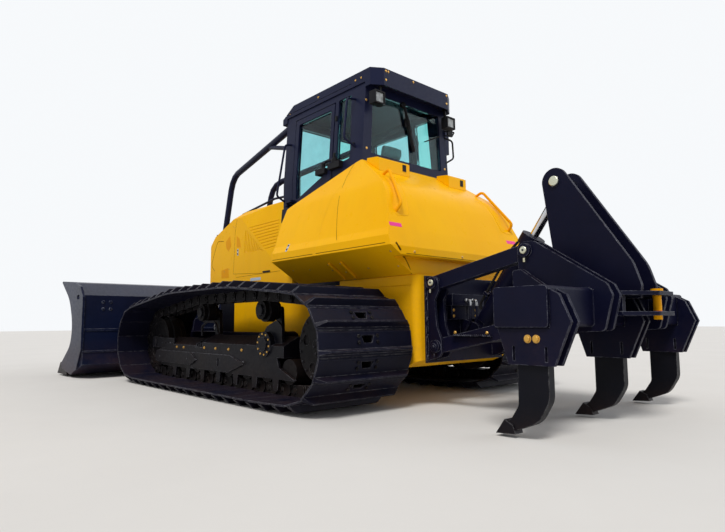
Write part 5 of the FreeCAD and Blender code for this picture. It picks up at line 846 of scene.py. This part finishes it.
HOOD_JOINTS = [(2668, 1945), (2690, 1860), (2712, 1770), (2722, 1500), (2741, 1275), (2076, 1240)]
HOOD_HATCH = [(3003, 1712), (3165, 1727), (3328, 1430), (3238, 1349)]
HOOD_SILL = [(2668, 1228), (1700, 1240)]
HOOD_VENTS = [
    [(2835, 1763), (2941, 1700), (2935, 1620), (2868, 1568), (2802, 1630)],
    [(2671, 1744), (2600, 1700), (2563, 1589), (2668, 1600)],
    [(2870, 1361), (3049, 1340), (3040, 1240), (2850, 1235)],
]
HOOD_BOLTS = ((2718, 1850), (2755, 1870), (2718, 1564), (2716, 1520), (2969, 1321), (2850, 1343))
HULL_SIDE = (439.0, 441.5)
FLANGE_TOP = 1268
# pixels of the photograph on the overhang of the left fender and the tank
OVERHANG_BOLTS = [(293.4, 270.6), (310.0, 269.8), (332.6, 270.3), (346.1, 272.0), (368.5, 268.0),
                  (398.5, 266.0), (390.6, 251.1)]
OVERHANG_SEAM = [(354.0, 164.5), (351.3, 168.8), (346.7, 177.0), (342.5, 187.0), (339.4, 196.5),
                 (337.8, 207.0), (337.0, 218.6), (336.5, 232.0), (336.6, 240.0)]
# a dark notch, wide then thin, at the tank's rear corner where the lip's end plate stands off: the dark
# tubes drawn there are painted shade in the gap
CORNER_GAP_SHADE = [(395.7, 242.4), (400.0, 249.0), (404.5, 257.0)]
CORNER_GAP_THIN_SHADE = [(404.5, 257.0), (408.5, 265.0), (411.6, 273.7)]
STRUTS = [[(329.3, 262.8), (345.0, 277.5)], [(341.2, 261.5), (355.9, 276.5)]]


def make_body_trim():
    seams_and_gap_shade, dark, plates, bolts, pink, vent_shade, beads, struts = builds(8)
    for side, fender in ((LEFT, "fender_left"), (RIGHT, "fender_right")):
        add_hood_side(seams_and_gap_shade, vent_shade, bolts, side)
        add_latch(plates, dark, *side_of("hood", 2636, 1536, side))
        add_latch(plates, dark, *side_of(fender, 880, 1368, side))
        pad(dark, *side_of("hood", 1980, 1252, side), 150.0, 20.0, 6.0)
        pad(plates, *side_of("hood", 2215, 1180, side), 225.0, 34.0, 1.5)
        # the joint above the lower flange of fender and tank
        strip(seams_and_gap_shade, line_on(fender, [(1105, FLANGE_TOP), (470, FLANGE_TOP)], side), 5.0)
        strip(seams_and_gap_shade, line_on("fuel_tank", [(420, FLANGE_TOP), (-440, FLANGE_TOP)], side), 5.0)
        # the hull's side is yellow behind the front carriers
        y0, y1 = sorted(side * y for y in HULL_SIDE)
        struts.block((610, y0, 420), (2750, y1, 1030))
        pad(dark, *side_of("hood", 1726, 1856, side), 40.0, 150.0, 8.0)
    add_overhang(seams_and_gap_shade, bolts, struts)
    add_tank_rear(seams_and_gap_shade, bolts, pink, beads)
    # black pads in the openings of the two lamp housings: painted shade inside them
    for y, z in ((300, 2045), (-520, 2040)):
        pad(dark, *back_of("tank_fittings", y, z), 44.0, 60.0, 4.0)
    # dark panel joints, and the painted shade in the tank's corner gap
    seams_and_gap_shade.make("panel_joints_and_gap_shade", SEAM, "body_yellow")
    dark.make("body_black_parts_and_opening_shade", BLACK, "lamp_black")
    plates.make("latch_plates", LATCH)
    bolts.make("body_bolts", BRASS)
    pink.make("rear_reflectors", PINK)
    vent_shade.make("hood_vent_shade", YELLOW_VENT_SHADE, "body_yellow")
    beads.make("tank_beads", YELLOW, "body_yellow", sharp=60.0)
    struts.make("hull_and_struts", YELLOW, "body_yellow", sharp=60.0)


def add_hood_side(seams_and_gap_shade, vent_shade, bolts, side):
    """Panel joints, vents painted in darker yellow as painted shade in their louvres, and small bolts on
    one side of the hood.
    """
    strip(seams_and_gap_shade, line_on("hood", HOOD_JOINTS, side))
    strip(seams_and_gap_shade, line_on("hood", arc(HOOD_HATCH, 60.0), side), 6.0)
    strip(seams_and_gap_shade, line_on("hood", HOOD_SILL, side), 3.0)
    # flat patches of darker yellow over the vents: painted shade
    for outline in HOOD_VENTS:
        places = [side_of("hood", x, z, side) for x, z in outline]
        normal = places[0][1]
        vent_shade.prism([place - normal * 0.0005 for place, _ in places], normal * 0.0013)
    for x, z in HOOD_BOLTS:
        bolts.bolt(*side_of("hood", x, z, side), 5.0, 4.0)


def add_latch(plates, dark, place, normal):
    pad(plates, place, normal, 30.0, 84.0, 2.0, corner=4.0)
    _, up = frame_on(normal, UPWARD)
    for shift in (-0.020, 0.022):
        pad(dark, place + up * shift + normal * 0.002, normal, 16.0, 20.0, 2.0, corner=3.0)


def add_overhang(seams_and_gap_shade, bolts, struts):
    """Bolts, seams and stays of the fenders' and the tank's sloped underside, and painted shade in the gap
    at the tank's rear corner, on both sides.
    """
    found = [[seen(("fender_left", "fuel_tank"), *pixel) for pixel in pixels]
             for pixels in (OVERHANG_BOLTS, OVERHANG_SEAM, CORNER_GAP_SHADE, CORNER_GAP_THIN_SHADE, *STRUTS)]
    for flip in (list, mirrored):
        bolt_places, seam, gap_shade, edge, *stays = map(flip, found)
        for place, normal in bolt_places:
            bolts.bolt(place, normal, 7.0, 6.0)
        strip(seams_and_gap_shade, seam, 3.5)
        # dark tubes along the notch at the tank's rear corner: painted shade in the gap
        seams_and_gap_shade.tube([place for place, _ in gap_shade], 9.0, 8)
        seams_and_gap_shade.tube([place for place, _ in edge], 4.0, 8)
        for (top, normal), (low, _) in stays:
            struts.tube([top + normal * 0.012, low + normal * 0.012], 12.0, 8)
            for end in (top, low):
                bolts.bolt(end + normal * 0.022, normal, 7.0, 6.0, False)


def add_tank_rear(seams_and_gap_shade, bolts, pink, beads):
    """Reflectors, lip, bolts and the beads below the hand rails."""
    for y0, y1 in ((768, 900), (-805, -655)):
        pad(pink, *back_of("fuel_tank", (y0 + y1) / 2.0, 1420), y1 - y0, 34.0, 1.2)
    strip(seams_and_gap_shade, line_back("fuel_tank", [(780, 1194), (-780, 1194)], 150.0), 4.0)
    for y in (690, 101, -420, -800):
        bolts.bolt(*back_of("fuel_tank", y, 1214), 8.0, 7.0)
    strip(seams_and_gap_shade, line_back("rear_case", [(520, 966), (-520, 966)], 150.0), 3.0)
    for side in (LEFT, RIGHT):
        outline = [(600, 1905), (560, 1880), (640, 1520), (790, 1500), (800, 1560)]
        found = line_back("fuel_tank", arc([(side * y, z) for y, z in outline], 40.0), 30.0)
        beads.tube([place - normal * 0.002 for place, normal in found], 5.0, 8)


# Cab

LAMP_INNER, LAMP_OUTER = 437, 561  # sides of the lamps below the visor, mm from the middle
LAMP_BACK, LAMP_FRONT = 62, 76
LENS_LOW, LENS_HIGH = 2640, 2734


def make_cab_trim():
    dark, bolts, lens, panel = builds(4)
    # bolts on the visor, the roof's edge and the rear posts
    for y, z in ((425, 2952), (395, 2952), (425, 2868), (60, 2952), (-430, 2952), (-430, 2868)):
        bolts.bolt(*back_of("cab_roof", y, z), 8.0, 6.0)
    for side in (LEFT, RIGHT):
        for x, z in ((250, 2912), (330, 2912), (900, 2930), (1400, 2900)):
            bolts.bolt(*side_of("cab_roof", x, z, side), 7.0, 6.0)
        for z in (2690, 2240):
            bolts.bolt(*back_of("cab_frame", side * 545, z), 8.0, 6.0)
        # hinges and catch of the quarter glass
        for x, z in ((598, 2619), (598, 2253)):
            pad(dark, *side_of("cab_frame", x, z, side), 26.0, 48.0, 16.0, corner=4.0)
        pad(dark, *side_of("cab_frame", 330, 2300, side), 24.0, 24.0, 10.0, corner=5.0)
        near, far = (14, 110) if side == LEFT else (-110, -14)
        lens.block((73.5, side * LAMP_INNER + near, 2644), (78.0, side * LAMP_INNER + far, 2732))
    for side in (LEFT, RIGHT):
        add_lens_frame(dark, side)
    make_door_handle("door_left", LEFT)
    make_door_handle("door_right", RIGHT)
    add_couplings(dark)
    add_wiper(dark)
    add_right_post(dark)
    dark.make("cab_black_parts", BLACK, "lamp_black")
    bolts.make("cab_bolts", BRASS)
    lens.make("lamp_lenses", LENS, "lamp_black")
    add_dashboard(panel)
    panel.make("cab_lining", LINING, "cab_plastic")


def add_lens_frame(made, side):
    y0, y1 = sorted((side * LAMP_INNER, side * LAMP_OUTER))
    for z0, z1 in ((LENS_LOW - 12, LENS_LOW), (LENS_HIGH, LENS_HIGH + 12)):
        made.block((LAMP_BACK, y0, z0), (LAMP_FRONT, y1, z1))
    for a, b in ((y0, y0 + 12), (y1 - 12, y1)):
        made.block((LAMP_BACK, a, LENS_LOW), (LAMP_FRONT, b, LENS_HIGH))


def make_door_handle(name, side):
    """Plate and bow of a door's handle; it rides on the door."""
    handle = Build()
    place, normal = side_of(name, 1215, 1790, side)
    pad(handle, place, normal, 46.0, 120.0, 10.0, corner=10.0)
    bow = [place + Vector((0, side * out, up))
           for out, up in ((0.008, 0.045), (0.04, 0.045), (0.04, -0.045), (0.008, -0.045))]
    handle.tube(rounded(bow, 14.0), 6.0, 8)
    handle.make("door_handle_" + name[5:], BLACK, "lamp_black", name)


def add_couplings(dark):
    """Cluster of couplings between the quarter glass and the tank."""
    dark.block((700, 560, 2098), (845, 640, 2150))
    dark.block((470, 575, 2110), (640, 650, 2170))
    dark.turned(at(560, 620, 2170), UPWARD, [(-2, 34), (34, 34), (40, 28), (40, 0)], 16)
    dark.turned(at(760, 605, 2148), UPWARD, [(-2, 20), (60, 20), (66, 12), (66, 0)], 12)
    line = [at(760, 605, 2190), at(700, 615, 2215), at(620, 615, 2205), at(580, 612, 2190)]
    dark.tube(rounded(line, 30.0), 9.0, 8)


def add_wiper(dark):
    dark.turned(at(216, 60, 2770), BACKWARD, [(-2, 30), (24, 30), (28, 22), (28, 0)], 14)
    dark.tube([at(192, 60, 2770), at(190, 15, 2640), at(198, -40, 2500)], 15.0, 8)
    dark.block((200, -36, 2560), (214, 36, 2640))
    dark.tube([at(204, -10, 2560), at(206, -90, 2330)], 18.0, 8)
    dark.tube([at(204, -250, 2470), at(200, -480, 2575)], 6.0, 8)


def add_right_post(dark):
    """Grab handle and small mirror on the right rear post."""
    handle = [at(202, -545, 2575), at(168, -640, 2550), at(168, -652, 2365), at(202, -570, 2310)]
    dark.tube(rounded(handle, 40.0), 9.0, 8)
    arm = [at(202, -540, 2650), at(180, -640, 2640), at(172, -690, 2668), at(172, -640, 2600),
           at(202, -545, 2600)]
    dark.tube(rounded(arm, 15.0), 7.0, 8)
    dark.block((160, -640, 2600), (176, -560, 2668))


def add_dashboard(made):
    """Housing of the instruments, and the steering wheel on its column."""
    made.block((1180, -180, 1890), (1320, 180, 1990))
    made.tube(rounded([at(1230, 0, 1960), at(1120, 0, 2080), at(1090, 0, 2110)], 40.0), 22.0, 10)
    wheel = [(-6, 175), (6, 175), (10, 165), (10, 150), (-6, 150)]
    made.turned(at(1085, 0, 2115), (-0.75, 0, 0.65), wheel, 28)


# Ripper, in mm

BRACKET_FACE = 515.3  # outer faces of the brackets on mount and beam
MOUNT_BACK = -446
PIN_RADIUS = 26.0
BEAM_REAR, BEAM_TOP = -1799, 877
SHANK_ROWS = (-958.0, 0.0, 958.0)
POCKET_HALF = 52.3
BARREL_PIN = (-590, 0, 600)
TOWER_PIN = (-1381, 0, 1689)


def add_pin(pins, dark, x, z, side, tag):
    """Pin face with its bolt, and the split pin's tag at (x, z) from it."""
    y, out = side * BRACKET_FACE, (0, side, 0)
    face = [(-1, PIN_RADIUS), (5, PIN_RADIUS), (8, PIN_RADIUS - 4), (8, 0)]
    pins.turned(at(x, y, z), out, face, 24)
    dark.turned(at(x, y + side * 8.0, z), out, [(-1, 8.0), (2, 8.0), (2, 0)], 10)
    if tag:
        tag_x, tag_z = x + tag[0], z + tag[1]
        pins.block((tag_x - 7, y - 2.0, tag_z - 14), (tag_x + 7, y + 2.0, tag_z + 14))


def make_mount_trim():
    pins, dark, steel, brass = builds(4)
    for side in (LEFT, RIGHT):
        add_pin(pins, dark, -505, 981, side, (8, -66))
        add_pin(dark, dark, -525, 483, side, (0, -70))
        for z in (400, 560, 700, 860, 960):
            dark.bolt(at(MOUNT_BACK, side * 492, z), BACKWARD, 11.0, 9.0)
    # valve blocks: bolts, elbows and the lines that run down from them
    for y, z in ((227, 768), (-67, 770), (227, 720), (-67, 720)):
        brass.bolt(at(-497, y, z), BACKWARD, 9.0, 8.0)
    for y in (89, 10):
        elbow = [(-514, 849), (-548, 849), (-560, 848), (-566, 822), (-566, 800)]
        steel.tube(rounded([at(x, y, z) for x, z in elbow], 12.0), 11.0, 10)
        steel.turned(at(-516, y, 849), BACKWARD, [(-1, 17), (12, 17), (14, 14), (14, 0)], 6)
        line = [at(-566, y, 806), at(-566, y, 700), at(-530, y + 10, 620), at(-470, y + 20, 560)]
        dark.tube(rounded(line, 50.0), 12.0, 10)
    pins.make("mount_pins", PIN)
    dark.make("mount_details", TOOL, "attachment_dark")
    steel.make("valve_elbows", STEEL)
    brass.make("valve_bolts", BRASS)


def make_beam_trim():
    pins, dark, brass, beads, orange = builds(5)
    for side in (LEFT, RIGHT):
        out = (0, side, 0)
        add_pin(pins, dark, -1340, 1155, side, (-4, -68))
        add_pin(dark, dark, -1360, 657, side, None)
        x, _, z = TOWER_PIN
        pins.turned(at(x, side * 145.0, z), out, [(-1, 37), (6, 37), (9, 33), (9, 0)], 28)
        pocket_bolt = [(-1, 24), (3, 24), (3, 18), (12, 18), (14, 15), (14, 0)]
        for x in (-1656, -1710):
            brass.turned(at(x, side * 1010.3, 573), out, pocket_bolt, 20)
        add_beam_welds(beads, side)
    orange.turned(at(-1990, 0, 722), UPWARD, [(0, 27.5), (14, 27.5), (14, 26.5), (0, 26.5)], 24)
    pins.make("beam_pins", PIN, body="ripper_beam")
    dark.make("beam_details", TOOL, "attachment_dark", "ripper_beam")
    brass.make("pocket_bolts", BRASS, body="ripper_beam")
    beads.make("beam_welds", TOOL, "attachment_dark", "ripper_beam", 70.0)
    orange.make("hitch_ring", ORANGE, body="ripper_beam")


def add_beam_welds(beads, side):
    """Beads along the shank pockets, the link brackets, the tower's plates and the rear edge."""
    for row in SHANK_ROWS:
        for edge in (-POCKET_HALF, POCKET_HALF):
            weld(beads, at(-1440, row + edge, 637), at(-1797, row + edge, 637))
            weld(beads, at(BEAM_REAR, row + edge, 660), at(BEAM_REAR, row + edge, 850))
    for y in (side * 406.0, side * 467.3 + side * 22.0):
        weld(beads, at(BEAM_REAR, y, 650), at(BEAM_REAR, y, 868))
        weld(beads, at(-1460, y, BEAM_TOP), at(-1780, y, BEAM_TOP))
    for y in (side * 105.0, side * 133.0):
        weld(beads, at(-1430, y, BEAM_TOP), at(-1790, y, BEAM_TOP))
    weld(beads, at(BEAM_REAR, side * 300, 859), at(BEAM_REAR, side * 20, 859))


def make_link_trim():
    """Bolts of the lower link, and the toothed step on its left side."""
    step, bolts = builds(2)
    for x in (-700, -990):
        bolts.bolt(at(x, 467.0, 590), (0, 1, 0), 9.0, 8.0)
    front, back, low, top = -690, -1040, 560, 566
    step.block((back, 440, low), (front, 500, top))
    teeth = [(front, low), (back, low)]
    for k in range(19):
        teeth += [(back + k * 18.9, top), (-1030.5 + k * 18.9, 580)]
    step.plate_y(teeth[:-1], 495.0, 500.0)
    bolts.make("link_bolts", BRASS, body="lower_link")
    step.make("link_step", TOOL, "attachment_dark", "lower_link")


def make_barrel_trim():
    """Two short rigid pipes on top of the ripper's cylinder, with their clips."""
    pipes, clips = builds(2)
    start = at(*BARREL_PIN)
    along = (at(*TOWER_PIN) - start).normalized()
    across = Vector((0, 1, 0)).cross(along).normalized()
    for side in (LEFT, RIGHT):

        def spot(reach, height, wide=0.034):
            return start + along * reach + across * height + Vector((0, side * wide, 0))

        path = [spot(0.16, 0.075, 0.03), spot(0.20, 0.102), spot(0.70, 0.102), spot(0.80, 0.080, 0.03)]
        pipes.tube(rounded(path, 30.0), 11.0, 10)
        for reach in (0.30, 0.62):
            pad(clips, spot(reach, 0.072), across, 34.0, 24.0, 46.0, up=along)
    pipes.make("barrel_pipes", RUBBER, body="ripper_barrel")
    clips.make("barrel_clips", TOOL, "cylinder_paint", "ripper_barrel")


def weld(made, start, end):
    """Rough bead along a joint."""
    count = max(2, int((end - start).length / 0.012))
    path = [start + (end - start) * k / count for k in range(count)] + [end]
    shaken = []
    for k, point in enumerate(path):
        wave = 0.0012 * math.sin(k * 2.4) + 0.0008 * math.sin(k * 5.1 + 1.0)
        shaken.append(point + Vector((wave, wave * 0.7, wave * 0.5)))
    made.tube(shaken, 6.0, 6)


# Blade, in mm

BLADE_BACK = 3968


def make_blade_trim():
    bolts, beads = builds(2)
    for side in (LEFT, RIGHT):
        for dy in (-45, 45):
            for dz in (-45, 45):
                bolts.bolt(at(3970, side * 1560 + dy, 905 + dz), BACKWARD, 15.0, 12.0)
        weld(beads, at(BLADE_BACK, side * 1821, 380), at(BLADE_BACK, side * 1821, 1005))
    for z in (589, 615, 329, 347):
        weld(beads, at(BLADE_BACK, -1780, z), at(BLADE_BACK, 1780, z))
    bolts.make("blade_back_bolts", BLADE, body="blade")
    beads.make("blade_welds", BLADE, "attachment_dark", "blade", 70.0)


# Seat

# side outlines, and half of each width
CUSHIONS = (
    ("seat_cushion", [(486, 1738), (955, 1738), (968, 1800), (940, 1850), (520, 1838), (480, 1800)], 236),
    ("seat_back", [(470, 1850), (560, 1856), (478, 2270), (440, 2292), (392, 2284), (396, 2180)], 232),
    ("head_rest", [(424, 2300), (470, 2306), (446, 2415), (402, 2412), (398, 2350)], 128),
)


def make_seat():
    for name, outline, half in CUSHIONS:
        thing = soft_block(name, outline, half)
        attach(thing, "chassis")
    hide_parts("seat")


def soft_block(name, outline, half):
    """Cushion with all its edges rounded off and a crowned, sewn face."""
    made = Build()
    made.plate_y(outline, -half, half)
    bmesh.ops.recalc_face_normals(made.mesh, faces=made.mesh.faces)
    bmesh.ops.triangulate(made.mesh, faces=[f for f in made.mesh.faces if len(f.verts) > 4])
    thing = made.place(name)
    remesh = thing.modifiers.new("even", "REMESH")
    remesh.mode = "VOXEL"
    remesh.voxel_size = 0.014
    smooth = thing.modifiers.new("soften", "SMOOTH")
    smooth.factor = 0.6
    smooth.iterations = 14
    graph = bpy.context.evaluated_depsgraph_get()
    soft = bpy.data.meshes.new_from_object(thing.evaluated_get(graph))
    thing.modifiers.clear()
    thing.data = soft
    crown(soft, name == "seat_cushion")
    for face in soft.polygons:
        face.use_smooth = True
    soft.materials.clear()
    soft.materials.append(CLOTH)
    return thing


def crown(mesh, flat):
    """Side bolsters, sewn channels across the middle and a crowned face."""
    channel_step, bolster = 0.105, 0.68
    across = [v.co.y for v in mesh.vertices]
    low, high = min(across), max(across)
    normals = [v.normal.copy() for v in mesh.vertices]
    for vertex, n in zip(mesh.vertices, normals):
        y = (vertex.co.y - low) / (high - low) * 2 - 1
        run = vertex.co.x if flat else vertex.co.z
        shift = 0.006 * (1 - y * y)
        channel = abs(math.sin(run * math.pi / channel_step))
        if abs(y) < 0.66:
            shift -= 0.007 * math.exp(-(channel / 0.16) ** 2)
        shift -= 0.009 * math.exp(-((abs(y) - bolster) / 0.035) ** 2)
        vertex.co += n * shift


def main():
    set_camera()
    set_stage()
    set_world()
    set_lamps()
    make_tracks()
    make_undercarriage()
    make_body_trim()
    make_cab_trim()
    make_mount_trim()
    make_beam_trim()
    make_link_trim()
    make_barrel_trim()
    make_blade_trim()
    make_seat()
    bpy.context.scene.view_settings.view_transform = "Standard"


main()
